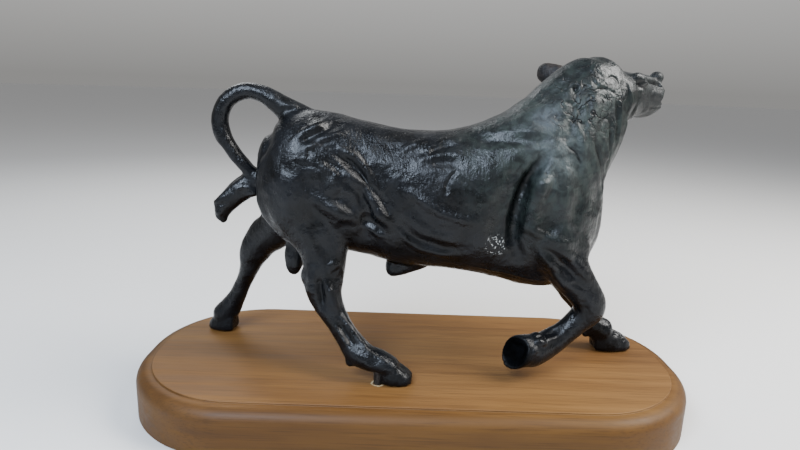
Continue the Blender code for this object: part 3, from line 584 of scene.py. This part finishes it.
def bullMasses():
    bm = bmesh.new()
    middle = bull["midline"]
    rows = [(x, middle, (top + low) / 2, (top - low) / 2, half) for x, top, low, half in bull["trunk"]]
    loft(bm, rows, sides=40, squareness=2.25, straight=(1, 0, 0))
    loft(bm, bull["neck"], sides=36, squareness=2.2)
    addHead(bm)
    loft(bm, bull["leftEar"], sideAxis=(0.1, 0.1, 1), sides=20)
    loft(bm, bull["rightEar"], sideAxis=(0, 1, 0.4), sides=20)
    for leg in ("hindRight", "hindLeft", "foreRight", "foreLeft"):
        loft(bm, bull[leg], sides=26)
    for heel, toe, shin, half, height in bull["hooves"]:
        heel = Vector(heel)
        toe = Vector(toe)
        along = (toe - heel).normalized()
        side = along.cross(Vector(shin)).normalized()
        up = side.cross(along)
        for sign in (-1, 1):
            addClaw(bm, heel, toe, along, side * sign, up, half, height)
    addLiftedHoof(bm)
    for place, radii in bull["dewclaws"]:
        lump(bm, place, radii)
    loft(bm, bull["tail"], steps=5, sides=22)
    loft(bm, bull["tuft"], sides=22)
    loft(bm, bull["sheath"], sides=20)
    for group in ("joints", "locks", "muscles", "underside"):
        for place, radii, pitch in bull[group]:
            lump(bm, place, radii, pitch)
    return bm


def smoothModifier(item, rounds):
    smooth = item.modifiers.new("smooth", "SMOOTH")
    smooth.factor = bull["smoothing"]["factor"]
    smooth.iterations = rounds
    return smooth


def fuseSkin(item, rounds):
    # One closed skin round everything, then smoothed
    skin = item.modifiers.new("skin", "REMESH")
    skin.mode = "VOXEL"
    skin.voxel_size = bull["voxel"]
    smoothModifier(item, rounds)
    applyModifiers(item)


def drawnScale():
    return bull["height"] / bull["drawnHeight"]


def softenChest(item, rounds):
    # The masses of the chest and neck run into each other
    points = readMesh(item.data)[0]
    group = item.vertex_groups.new(name="chest")
    group.add([int(i) for i in np.flatnonzero(onChest(points))], 1.0, "REPLACE")
    smoothModifier(item, rounds).vertex_group = "chest"
    applyModifiers(item)
    item.vertex_groups.clear()


def onChest(points):
    chest = bull["softChest"]
    x, y, z = points.T
    inside = (x > chest["behind"]) & (np.abs(y - bull["midline"]) < chest["halfWidth"])
    inside &= (z > chest["low"]) & (z < chest["high"])
    return inside & (toHead(points)[:, 0] < chest["headStarts"])


def readMesh(mesh):
    count = len(mesh.vertices)
    points = np.empty(count * 3)
    normals = np.empty(count * 3)
    mesh.vertices.foreach_get("co", points)
    mesh.vertices.foreach_get("normal", normals)
    return points.reshape(-1, 3) / drawnScale(), normals.reshape(-1, 3)


def strokeHeights(points, normals, strokes, middle, taper, plane=(0, 2), across=1):
    # Height of the carving at each point. The strokes lie in the plane of two axes and are cut along the
    # third, on one side of a middle; a tapered stroke fades towards both of its ends.
    start, growth = carving["facing"]
    height = np.zeros(len(points))
    for side, rise, width, route in strokes:
        route = np.array(route, dtype=float)
        low, high = route.min(axis=0) - width, route.max(axis=0) + width
        near = np.flatnonzero((points[:, plane[0]] > low[0]) & (points[:, plane[0]] < high[0])
                              & (points[:, plane[1]] > low[1]) & (points[:, plane[1]] < high[1]))
        flat = points[near][:, list(plane)]
        lengths = np.linalg.norm(np.diff(route, axis=0), axis=1)
        nearest = np.full(len(flat), np.inf)
        share = np.zeros(len(flat))
        for i in range(len(lengths)):
            along = route[i + 1] - route[i]
            t = np.clip((flat - route[i]) @ along / (along @ along), 0, 1)
            far = np.linalg.norm(flat - route[i] - t[:, None] * along, axis=1)
            closer = far < nearest
            nearest[closer] = far[closer]
            share[closer] = ((lengths[:i].sum() + t * lengths[i]) / lengths.sum())[closer]
        facing = normals[near, across]
        if side == 0:
            mask = np.clip((np.abs(facing) - start) / growth, 0, 1)
        else:
            mask = np.clip((side * facing - start) / growth, 0, 1)
            mask *= side * (points[near, across] - middle) > -carving["overlap"]
        if taper:
            nearEnd = np.minimum(share, 1 - share)
            mask *= np.clip(carving["endHeight"] + carving["taper"] * nearEnd, 0, 1)
        height[near] += rise * mask * np.clip(1 - (nearest / width) ** 2, 0, 1) ** 2
    return height


def carve(item, heightsOf):
    mesh = item.data
    points, normals = readMesh(mesh)
    points = points + normals * heightsOf(points, normals)[:, None]
    mesh.vertices.foreach_set("co", (points * drawnScale()).ravel())
    mesh.update()


def waves(points, size):
    return np.array([noise.noise(Vector(point)) for point in points / size])


def surfaceHeights(points):
    # Curls of hair and pits run along the lines where a noise passes zero, broken up by a second noise
    height = sum(rise * waves(points, size) for size, rise in surface["waves"])
    height *= 1 - (1 - surface["onHead"]) * onHead(toHead(points))
    for name in ("curls", "pits"):
        place = surface[name]
        away = np.linalg.norm(points - np.array(place["middle"]), axis=1)
        share = np.clip((place["reach"] - away) / place["fade"], 0, 1)
        near = np.flatnonzero(share > 0)
        lines = np.exp(-(waves(points[near], place["size"]) / place["line"]) ** 2)
        second = waves(points[near] + surface["breakShift"], place["breaks"])
        kept = np.clip(second * surface["breakContrast"] + surface["breakMean"], 0, 1)
        height[near] += place["height"] * share[near] * lines * kept
    return height


def deepHeights(points, normals):
    height = strokeHeights(points, normals, deepCuts, bull["midline"], True) * notOnHead(points)
    height += fromFront(points, normals, chestCuts, carving["chestFrom"]) * notOnHead(points)
    height += fromFront(points, normals, rumpCuts, carving["rumpTo"])
    height += fromFront(points, normals, soleCuts, carving["soleTo"]) * (points[:, 0] > carving["soleFrom"])
    return height


def fromFront(points, normals, strokes, middle):
    # Strokes drawn across and up, cut along x
    return strokeHeights(points, normals, strokes, middle, False, (1, 2), 0)


def notOnHead(points):
    return 1 - onHead(toHead(points))


def toHead(points):
    place = np.array(headFrame())
    return (points - place[:3, 3]) @ place[:3, :3]


def onHead(local):
    face = head["face"]
    s, y, z = local.T
    return ((s > face["from"]) & (np.abs(y) < face["halfWidth"]) & (z > face["lowest"])).astype(float)


def photoRoute(tree, pixels):
    # Where the rays through these pixels of the photograph meet the bull, in the side view
    right, up, ahead = cameraAxes()
    lift = Vector((0, 0, bull["baseTop"] + bull["hoofGap"]))
    route = []
    for x, y in pixels:
        ray = ahead * camera["focalPixels"]
        ray += right * (x - camera["imageWidth"] / 2) - up * (y - camera["imageHeight"] / 2)
        hit = tree.ray_cast(Vector(camera["place"]) - lift, ray.normalized())[0]
        if hit is not None:
            route.append((hit.x / drawnScale(), hit.z / drawnScale()))
    return route


def allFineCuts(item):
    tree = BVHTree.FromObject(item, bpy.context.evaluated_depsgraph_get())
    found = list(fineCuts)
    for side, rise, width, pixels in photoCuts.values():
        route = photoRoute(tree, pixels)
        if len(route) > 1:
            found.append((side, rise, width, route))
    return found


def fineHeights(points, normals, cuts):
    height = strokeHeights(points, normals, cuts, bull["midline"], True) * notOnHead(points)
    local = toHead(points)
    turned = normals @ np.array(headFrame())[:3, :3]
    height += strokeHeights(local, turned, head["strokes"], 0, False) * onHead(local)
    height += fromFront(local, turned, head["frontStrokes"], head["front"]) * onHead(local)
    return height + surfaceHeights(points)


def addBull():
    bm = bullMasses()
    bmesh.ops.scale(bm, vec=[drawnScale()] * 3, verts=bm.verts[:])
    item = makeObject("bullCasting", bm)
    rounds = bull["smoothing"]
    fuseSkin(item, rounds["masses"])
    softenChest(item, rounds["chest"])
    carve(item, deepHeights)
    fuseSkin(item, rounds["deepCuts"])
    cuts = allFineCuts(item)
    carve(item, lambda points, normals: fineHeights(points, normals, cuts))
    smoothModifier(item, rounds["fineCuts"])
    applyModifiers(item)
    item.data.transform(Matrix.Translation((0, 0, bull["baseTop"] + bull["hoofGap"])))
    thin = item.modifiers.new("thin", "DECIMATE")
    thin.ratio = min(1.0, bull["triangles"] / (2 * len(item.data.polygons)))
    applyModifiers(item)
    item.data.shade_smooth()
    return item


bullPiece = addBull()
print("bull carved", len(bullPiece.data.polygons))


# Node materials
def newMaterial(name):
    material = bpy.data.materials.new(name)
    material.use_nodes = True
    nodes = material.node_tree.nodes
    return material, nodes, material.node_tree.links, nodes["Principled BSDF"]


def addNode(nodes, kind, **values):
    node = nodes.new(kind)
    for key, value in values.items():
        if hasattr(node, key):
            setattr(node, key, value)
        else:
            node.inputs[key].default_value = value
    return node


def objectPlace(nodes, links, scale):
    # Object coordinates, stretched
    place = nodes.new("ShaderNodeTexCoord")
    mapping = addNode(nodes, "ShaderNodeMapping", Scale=scale)
    links.new(place.outputs["Object"], mapping.inputs["Vector"])
    return mapping.outputs["Vector"]


def addNoise(nodes, links, place, scale, detail=3.0, distortion=0.0):
    node = addNode(nodes, "ShaderNodeTexNoise", Scale=scale, Detail=detail, Distortion=distortion)
    links.new(place, node.inputs["Vector"])
    return node.outputs["Fac"]


def spread(nodes, links, value, low, high, newLow, newHigh):
    node = addNode(nodes, "ShaderNodeMapRange")
    for key, number in (("From Min", low), ("From Max", high), ("To Min", newLow), ("To Max", newHigh)):
        node.inputs[key].default_value = number
    links.new(value, node.inputs["Value"])
    return node.outputs["Result"]


def addPatches(nodes, links, place, patch):
    # Noise whose middle values are stretched from one range to another
    scale, detail, distortion, found, wanted = patch
    return spread(nodes, links, addNoise(nodes, links, place, scale, detail, distortion), *found, *wanted)


def addRamp(nodes, links, value, stops):
    ramp = nodes.new("ShaderNodeValToRGB")
    elements = ramp.color_ramp.elements
    while len(elements) < len(stops):
        elements.new(0.5)
    for element, (place, colour) in zip(elements, stops):
        element.position = place
        element.color = (*colour, 1)
    links.new(value, ramp.inputs["Fac"])
    return ramp.outputs["Color"]


def mixColour(nodes, links, share, first, second):
    mix = nodes.new("ShaderNodeMix")
    mix.data_type = "RGBA"
    for socket, value in ((mix.inputs[0], share), (mix.inputs[6], first), (mix.inputs[7], second)):
        if isinstance(value, tuple):
            socket.default_value = (*value, 1)
        else:
            links.new(value, socket)
    return mix.outputs[2]


def addBump(nodes, links, height, distance, strength, before=None):
    node = addNode(nodes, "ShaderNodeBump", Distance=distance, Strength=strength)
    links.new(height, node.inputs["Height"])
    if before is not None:
        links.new(before, node.inputs["Normal"])
    return node.outputs["Normal"]


def multiply(nodes, links, first, second):
    node = addNode(nodes, "ShaderNodeMath", operation="MULTIPLY")
    for socket, value in zip(node.inputs, (first, second)):
        if isinstance(value, (int, float)):
            socket.default_value = value
        else:
            links.new(value, socket)
    return node.outputs["Value"]


def nearPoint(nodes, links, point, radius, soft):
    # 1 within a radius of a point of the object, fading to 0
    place = nodes.new("ShaderNodeTexCoord")
    away = addNode(nodes, "ShaderNodeVectorMath", operation="DISTANCE")
    links.new(place.outputs["Object"], away.inputs[0])
    away.inputs[1].default_value = point
    return spread(nodes, links, away.outputs["Value"], radius, radius + soft, 1.0, 0.0)


paint = {
    "dark": (0.0010, 0.0012, 0.0015),
    "light": (0.0034, 0.0040, 0.0052),
    "spots": {                 # other paint and painted light: neck tone, painted highlights, dusty ear, muzzle, pits with painted glints, painted shade in the sole
        # Lighter, greener paint round the neck; over the shoulder it is painted sheen
        "neck": {"place": (0.100, -0.035, 0.215), "radius": 0.026, "fade": 0.066,
                 "colour": (0.019, 0.025, 0.0225), "roughness": 0.44},
        # Painted highlight on the shoulder's top
        "shoulder": {"place": (0.0918, -0.042, 0.2005), "radius": 0.007, "fade": 0.018,
                     "colour": (0.046, 0.055, 0.055), "roughness": 0.42},
        # A smooth filled patch on the neck, its sheen painted in as a lighter bluish colour
        "filledPatchSheen": {"place": (0.0834, -0.037, 0.2297), "radius": 0.005, "fade": 0.010,
                  "colour": (0.045, 0.053, 0.062), "roughness": 0.38},
        "leftEar": {"place": (0.0967, 0.040, 0.2574), "radius": 0.014, "fade": 0.010,
                    "colour": (0.016, 0.012, 0.010), "roughness": 0.55},
        "muzzle": {"place": (0.180, 0.035, 0.2435), "radius": 0.028, "fade": 0.020,
                   "colour": (0.0115, 0.014, 0.014), "roughness": 0.5},
        # Pitted patch on the belly side; its bright flecks are painted glints
        "pitsWithGlints": {"place": (0.056, -0.044, 0.1365), "radius": 0.006, "fade": 0.005,
                   "colour": (0.5, 0.5, 0.47), "roughness": 0.4},
        # Painted shade in the lifted hoof's hollow sole
        "sole": {"place": (0.074, -0.041, 0.0585), "radius": 0.010, "fade": 0.004,
                 "colour": (0.0005, 0.0005, 0.0005), "roughness": 0.8},
    },
    # Noises: scale, detail, distortion, range of the noise, range of the result
    "cloud": (60, 5, 0.5, (0.35, 0.65), (0.0, 1.0)),
    "gloss": (90, 6, 0.5, (0.34, 0.66), (0.21, 0.40)),
    "blotch": (160, 4, 0.6, (0.4, 0.6), (0.3, 1.0)),
    # Noise for the painted glints in the pitted patch
    "glintFlecks": (700, 2, 0.0, (0.6, 0.66), (0.0, 1.0)),
    "grooveShade": (0.44, 0.497),  # pointiness below which the grooves get painted shade
    "curls": {"place": (0.114, -0.024, 0.2425), "radius": 0.023, "fade": 0.012, "scale": 105, "detail": 1,
              "distortion": 0.4, "line": 0.019, "core": 0.3, "depth": 0.0012,
              "breaks": (60, 1, 0.0, (0.44, 0.52), (0.0, 1.0))},
    # Bumps: scale, detail, depth in metres, strength
    "lumps": (260, 3, 0.0012, 0.5),
    "grain": (1100, 4, 0.0003, 0.5),
    "hair": {"stretch": (620, 620, 70), "detail": 4, "distortion": 0.8, "depth": 0.0007, "strength": 0.45},
    "specular": 0.22,
    "soleShadeSpecular": 0.02,
}


def blackPaint():
    material, nodes, links, shader = newMaterial("blackPaint")
    even = objectPlace(nodes, links, (1, 1, 1))
    cloud = addPatches(nodes, links, even, paint["cloud"])
    tone = mixColour(nodes, links, cloud, paint["dark"], paint["light"])
    rough = addPatches(nodes, links, even, paint["gloss"])
    blotch = addPatches(nodes, links, even, paint["blotch"])
    glintFlecks = addPatches(nodes, links, even, paint["glintFlecks"])
    for name, spot in paint["spots"].items():
        share = nearPoint(nodes, links, spot["place"], spot["radius"], spot["fade"])
        duller = addNode(nodes, "ShaderNodeMath", operation="MAXIMUM")
        links.new(rough, duller.inputs[0])
        links.new(multiply(nodes, links, share, spot["roughness"]), duller.inputs[1])
        rough = duller.outputs["Value"]
        # The pitted patch takes painted glints, the other spots blotches
        mottle = glintFlecks if name == "pitsWithGlints" else blotch
        tone = mixColour(nodes, links, multiply(nodes, links, share, mottle), tone, spot["colour"])
    # Painted shade in the incised curl lines: the paint darkens along them, and they also cut the bump
    lines = curlLines(nodes, links, even)
    tone = mixColour(nodes, links, lines, tone, paint["dark"])
    # Painted shade: where the pointiness is low, in grooves and hollows, the paint darkens to the dark tone
    ridges = nodes.new("ShaderNodeNewGeometry").outputs["Pointiness"]
    groove = spread(nodes, links, ridges, *paint["grooveShade"], 1.0, 0.0)
    links.new(mixColour(nodes, links, groove, tone, paint["dark"]), shader.inputs["Base Color"])
    links.new(rough, shader.inputs["Roughness"])
    links.new(paintBumps(nodes, links, even, lines), shader.inputs["Normal"])
    # Painted shade in the hollow sole: near-black paint with its specular turned down
    sole = paint["spots"]["sole"]
    shadeInSole = nearPoint(nodes, links, sole["place"], sole["radius"], sole["fade"])
    links.new(spread(nodes, links, shadeInSole, 0.0, 1.0, paint["specular"], paint["soleShadeSpecular"]),
              shader.inputs["Specular IOR Level"])
    return material


def curlLines(nodes, links, even):
    # Thin lines along the middle values of a noise, broken up by a second noise
    curls = paint["curls"]
    offset = addNode(nodes, "ShaderNodeMath", operation="SUBTRACT")
    curly = addNoise(nodes, links, even, curls["scale"], curls["detail"], curls["distortion"])
    links.new(curly, offset.inputs[0])
    offset.inputs[1].default_value = 0.5
    size = addNode(nodes, "ShaderNodeMath", operation="ABSOLUTE")
    links.new(offset.outputs["Value"], size.inputs[0])
    core = curls["core"] * curls["line"]
    lines = spread(nodes, links, size.outputs["Value"], core, curls["line"], 1.0, 0.0)
    kept = addPatches(nodes, links, even, curls["breaks"])
    nearCurls = nearPoint(nodes, links, curls["place"], curls["radius"], curls["fade"])
    return multiply(nodes, links, lines, multiply(nodes, links, kept, nearCurls))


def paintBumps(nodes, links, even, lines):
    # Lumps, hair strokes, curls and the casting's grain, one over the other
    scale, detail, depth, strength = paint["lumps"]
    bump = addBump(nodes, links, addNoise(nodes, links, even, scale, detail), depth, strength)
    hair = paint["hair"]
    stretched = objectPlace(nodes, links, hair["stretch"])
    strands = addNoise(nodes, links, stretched, 1.0, hair["detail"], hair["distortion"])
    bump = addBump(nodes, links, strands, hair["depth"], hair["strength"], bump)
    bump = addBump(nodes, links, multiply(nodes, links, lines, -1.0), paint["curls"]["depth"], 1.0, bump)
    scale, detail, depth, strength = paint["grain"]
    return addBump(nodes, links, addNoise(nodes, links, even, scale, detail), depth, strength, bump)


bullPiece.data.materials.clear()
bullPiece.data.materials.append(blackPaint())
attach(bullPiece, "root")
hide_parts("bull")
print("bull painted")

# Hardwood base: rounded ends, a fine step and a roundover round its top edge
base = {
    "length": 0.420,
    "width": 0.187,
    "height": 0.0355,
    "endFlat": 0.015,
    "roundover": 0.0095,
    "stepWidth": 0.0019,
    "stepHeight": 0.0013,
    "footChamfer": 0.0008,
    "edgeSoftness": 0.0003,
    "cornerSegments": 48,
    "roundoverSegments": 14,
    "wood": [(0.25, (0.050, 0.020, 0.004)), (0.45, (0.107, 0.049, 0.013)), (0.6, (0.141, 0.068, 0.019)),
             (0.8, (0.19, 0.099, 0.031))],
    # Grain along the base: stretch, detail, distortion
    "broad": ((2.4, 14, 30), 4, 1.2),
    "streak": ((5, 150, 190), 4, 0.5),
    "fibre": ((26, 1000, 1000), 3, 0.0),
    "broadShare": 0.62,
    "streakShare": 0.38,
    "pore": (0.033, 0.014, 0.004),
    "poreRange": (0.5, 0.75, 0.0, 0.5),
    "sideFrom": (0.0335, 0.0350),
    # Painted shade on the side, with a more golden tone
    "sideShadeTint": (0.56, 0.51, 0.30),
    "roughness": (0.3, 0.7, 0.5, 0.64),
    "fibreBump": (0.0002, 0.22),
    "specular": 0.22,
    "sharpFrom": 40,           # degrees
    "glue": {"place": (-0.0245, -0.0505, 0.0355), "rise": (0.0050, 0.0055), "fall": (0.0061, 0.0067),
             "noise": (380, 3), "wander": 0.003, "colour": (0.3, 0.23, 0.13)},
}


def baseOutline(inset):
    # Counter-clockwise round the base, drawn in from its edge
    corner = (base["width"] - base["endFlat"]) / 2
    radius = corner - inset
    across = base["length"] / 2 - corner
    deep = base["width"] / 2 - corner
    points = []
    for turn, (sx, sy) in enumerate(((1, 1), (-1, 1), (-1, -1), (1, -1))):
        for k in range(base["cornerSegments"] + 1):
            angle = math.pi / 2 * (turn + k / base["cornerSegments"])
            points.append((sx * across + radius * math.cos(angle), sy * deep + radius * math.sin(angle)))
    return points


def baseProfile():
    top = base["height"]
    soft = base["edgeSoftness"]
    shoulder = top - base["stepHeight"] - base["roundover"]
    rows = [(base["footChamfer"], 0.0), (0.0, base["footChamfer"])]
    for k in range(base["roundoverSegments"] + 1):
        angle = math.pi / 2 * k / base["roundoverSegments"]
        inset = base["roundover"] * (1 - math.cos(angle))
        rows.append((inset, shoulder + base["roundover"] * math.sin(angle)))
    edge = base["roundover"] + base["stepWidth"]
    rows += [(edge - soft, top - base["stepHeight"]), (edge, top - base["stepHeight"] + soft),
             (edge, top - soft), (edge + soft, top)]
    return rows


def addGrain(nodes, links, grain):
    stretch, detail, distortion = grain
    return addNoise(nodes, links, objectPlace(nodes, links, stretch), 1.0, detail, distortion)


def hardwood():
    material, nodes, links, shader = newMaterial("hardwood")
    broad = addGrain(nodes, links, base["broad"])
    streak = addGrain(nodes, links, base["streak"])
    fibre = addGrain(nodes, links, base["fibre"])
    total = addNode(nodes, "ShaderNodeMath", operation="ADD")
    links.new(multiply(nodes, links, broad, base["broadShare"]), total.inputs[0])
    links.new(multiply(nodes, links, streak, base["streakShare"]), total.inputs[1])
    colour = addRamp(nodes, links, total.outputs["Value"], base["wood"])
    colour = mixColour(nodes, links, spread(nodes, links, fibre, *base["poreRange"]), colour, base["pore"])
    colour = paintSideShade(nodes, links, colour)
    colour = mixColour(nodes, links, glueRing(nodes, links), colour, base["glue"]["colour"])
    links.new(colour, shader.inputs["Base Color"])
    links.new(spread(nodes, links, streak, *base["roughness"]), shader.inputs["Roughness"])
    links.new(addBump(nodes, links, fibre, *base["fibreBump"]), shader.inputs["Normal"])
    shader.inputs["Specular IOR Level"].default_value = base["specular"]
    return material


def paintSideShade(nodes, links, colour):
    # Painted shade: the side below the roundover is darkened and turned more golden
    split = nodes.new("ShaderNodeSeparateXYZ")
    links.new(nodes.new("ShaderNodeTexCoord").outputs["Object"], split.inputs[0])
    onSide = spread(nodes, links, split.outputs["Z"], *base["sideFrom"], 1.0, 0.0)
    shadedSide = nodes.new("ShaderNodeMix")
    shadedSide.data_type = "RGBA"
    shadedSide.blend_type = "MULTIPLY"
    links.new(onSide, shadedSide.inputs[0])
    links.new(colour, shadedSide.inputs[6])
    shadedSide.inputs[7].default_value = (*base["sideShadeTint"], 1)
    return shadedSide.outputs[2]


def glueRing(nodes, links):
    # Dried glue round the foot of the stud, on an uneven circle
    glue = base["glue"]
    place = nodes.new("ShaderNodeTexCoord")
    away = addNode(nodes, "ShaderNodeVectorMath", operation="DISTANCE")
    links.new(place.outputs["Object"], away.inputs[0])
    away.inputs[1].default_value = glue["place"]
    wander = addNode(nodes, "ShaderNodeMath", operation="MULTIPLY_ADD")
    links.new(addNoise(nodes, links, place.outputs["Object"], *glue["noise"]), wander.inputs[0])
    wander.inputs[1].default_value = glue["wander"]
    links.new(away.outputs["Value"], wander.inputs[2])
    rise = spread(nodes, links, wander.outputs["Value"], *glue["rise"], 0.0, 1.0)
    fall = spread(nodes, links, wander.outputs["Value"], *glue["fall"], 1.0, 0.0)
    return multiply(nodes, links, rise, fall)


def addBase():
    bm = bmesh.new()
    rings = []
    for inset, height in baseProfile():
        rings.append([bm.verts.new((x, y, height)) for x, y in baseOutline(inset)])
    skinRings(bm, rings)
    item = makeObject("hardwoodBase", bm)
    item.data.materials.append(hardwood())
    item.data.shade_smooth()
    item.data.set_sharp_from_angle(angle=math.radians(base["sharpFrom"]))
    return item


basePiece = addBase()
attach(basePiece, "root")
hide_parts("wooden_base")
print("base made")


# The short stud under the raised heel keeps its CAD shape
stud = {
    "scuff": (500, 4),
    "metal": [(0.35, (0.012, 0.012, 0.013)), (0.75, (0.07, 0.066, 0.06))],
    "roughness": (0.3, 0.7, 0.25, 0.45),
    "metallic": 0.7,
}


def blackenedMetal():
    material, nodes, links, shader = newMaterial("blackenedMetal")
    scuff = addNoise(nodes, links, objectPlace(nodes, links, (1, 1, 1)), *stud["scuff"])
    links.new(addRamp(nodes, links, scuff, stud["metal"]), shader.inputs["Base Color"])
    links.new(spread(nodes, links, scuff, *stud["roughness"]), shader.inputs["Roughness"])
    shader.inputs["Metallic"].default_value = stud["metallic"]
    return material


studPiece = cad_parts["fixing_stud"]
studPiece.data.materials.clear()
studPiece.data.materials.append(blackenedMetal())
print("stud coloured")

# Pale floor and soft light
studio = {
    "floorRadius": 14.0,
    "floorSides": 96,
    "floorRoughness": 0.8,
    "floorColour": (0.60, 0.588, 0.568),
    "sky": [(0.0, (0.335, 0.33, 0.322)), (0.05, (0.42, 0.415, 0.405)), (0.15, (0.60, 0.595, 0.585)),
            (0.5, (0.48, 0.49, 0.51))],
    "skyStrength": 0.85,
    "lamps": [                 # place, size, watts, colour
        ((0.92, -0.12, 0.98), 0.7, 42, (1.0, 0.985, 0.96)),
        ((-0.46, -0.80, 0.88), 0.6, 34, (0.70, 0.82, 1.0)),
        ((-0.5, 0.8, 0.9), 0.5, 6, (0.95, 0.98, 1.0)),
    ],
    "aim": (0, 0, 0.12),
}


def addStudio():
    bm = bmesh.new()
    bmesh.ops.create_circle(bm, cap_ends=True, segments=studio["floorSides"], radius=studio["floorRadius"])
    floor = makeObject("floor", bm)
    material, nodes, links, shader = newMaterial("paleFloor")
    shader.inputs["Base Color"].default_value = (*studio["floorColour"], 1)
    shader.inputs["Roughness"].default_value = studio["floorRoughness"]
    floor.data.materials.append(material)
    world = bpy.data.worlds.new("softRoom")
    world.use_nodes = True
    nodes, links = world.node_tree.nodes, world.node_tree.links
    sky = nodes["Background"]
    split = nodes.new("ShaderNodeSeparateXYZ")
    links.new(nodes.new("ShaderNodeTexCoord").outputs["Generated"], split.inputs[0])
    links.new(addRamp(nodes, links, split.outputs["Z"], studio["sky"]), sky.inputs["Color"])
    sky.inputs["Strength"].default_value = studio["skyStrength"]
    bpy.context.scene.world = world
    for place, size, watts, colour in studio["lamps"]:
        lamp = bpy.data.lights.new("lamp", "AREA")
        lamp.size = size
        lamp.energy = watts
        lamp.color = colour
        item = bpy.data.objects.new("lamp", lamp)
        bpy.context.scene.collection.objects.link(item)
        item.location = place
        item.rotation_euler = (Vector(studio["aim"]) - Vector(place)).to_track_quat("-Z", "Y").to_euler()


addStudio()
print("studio lit")
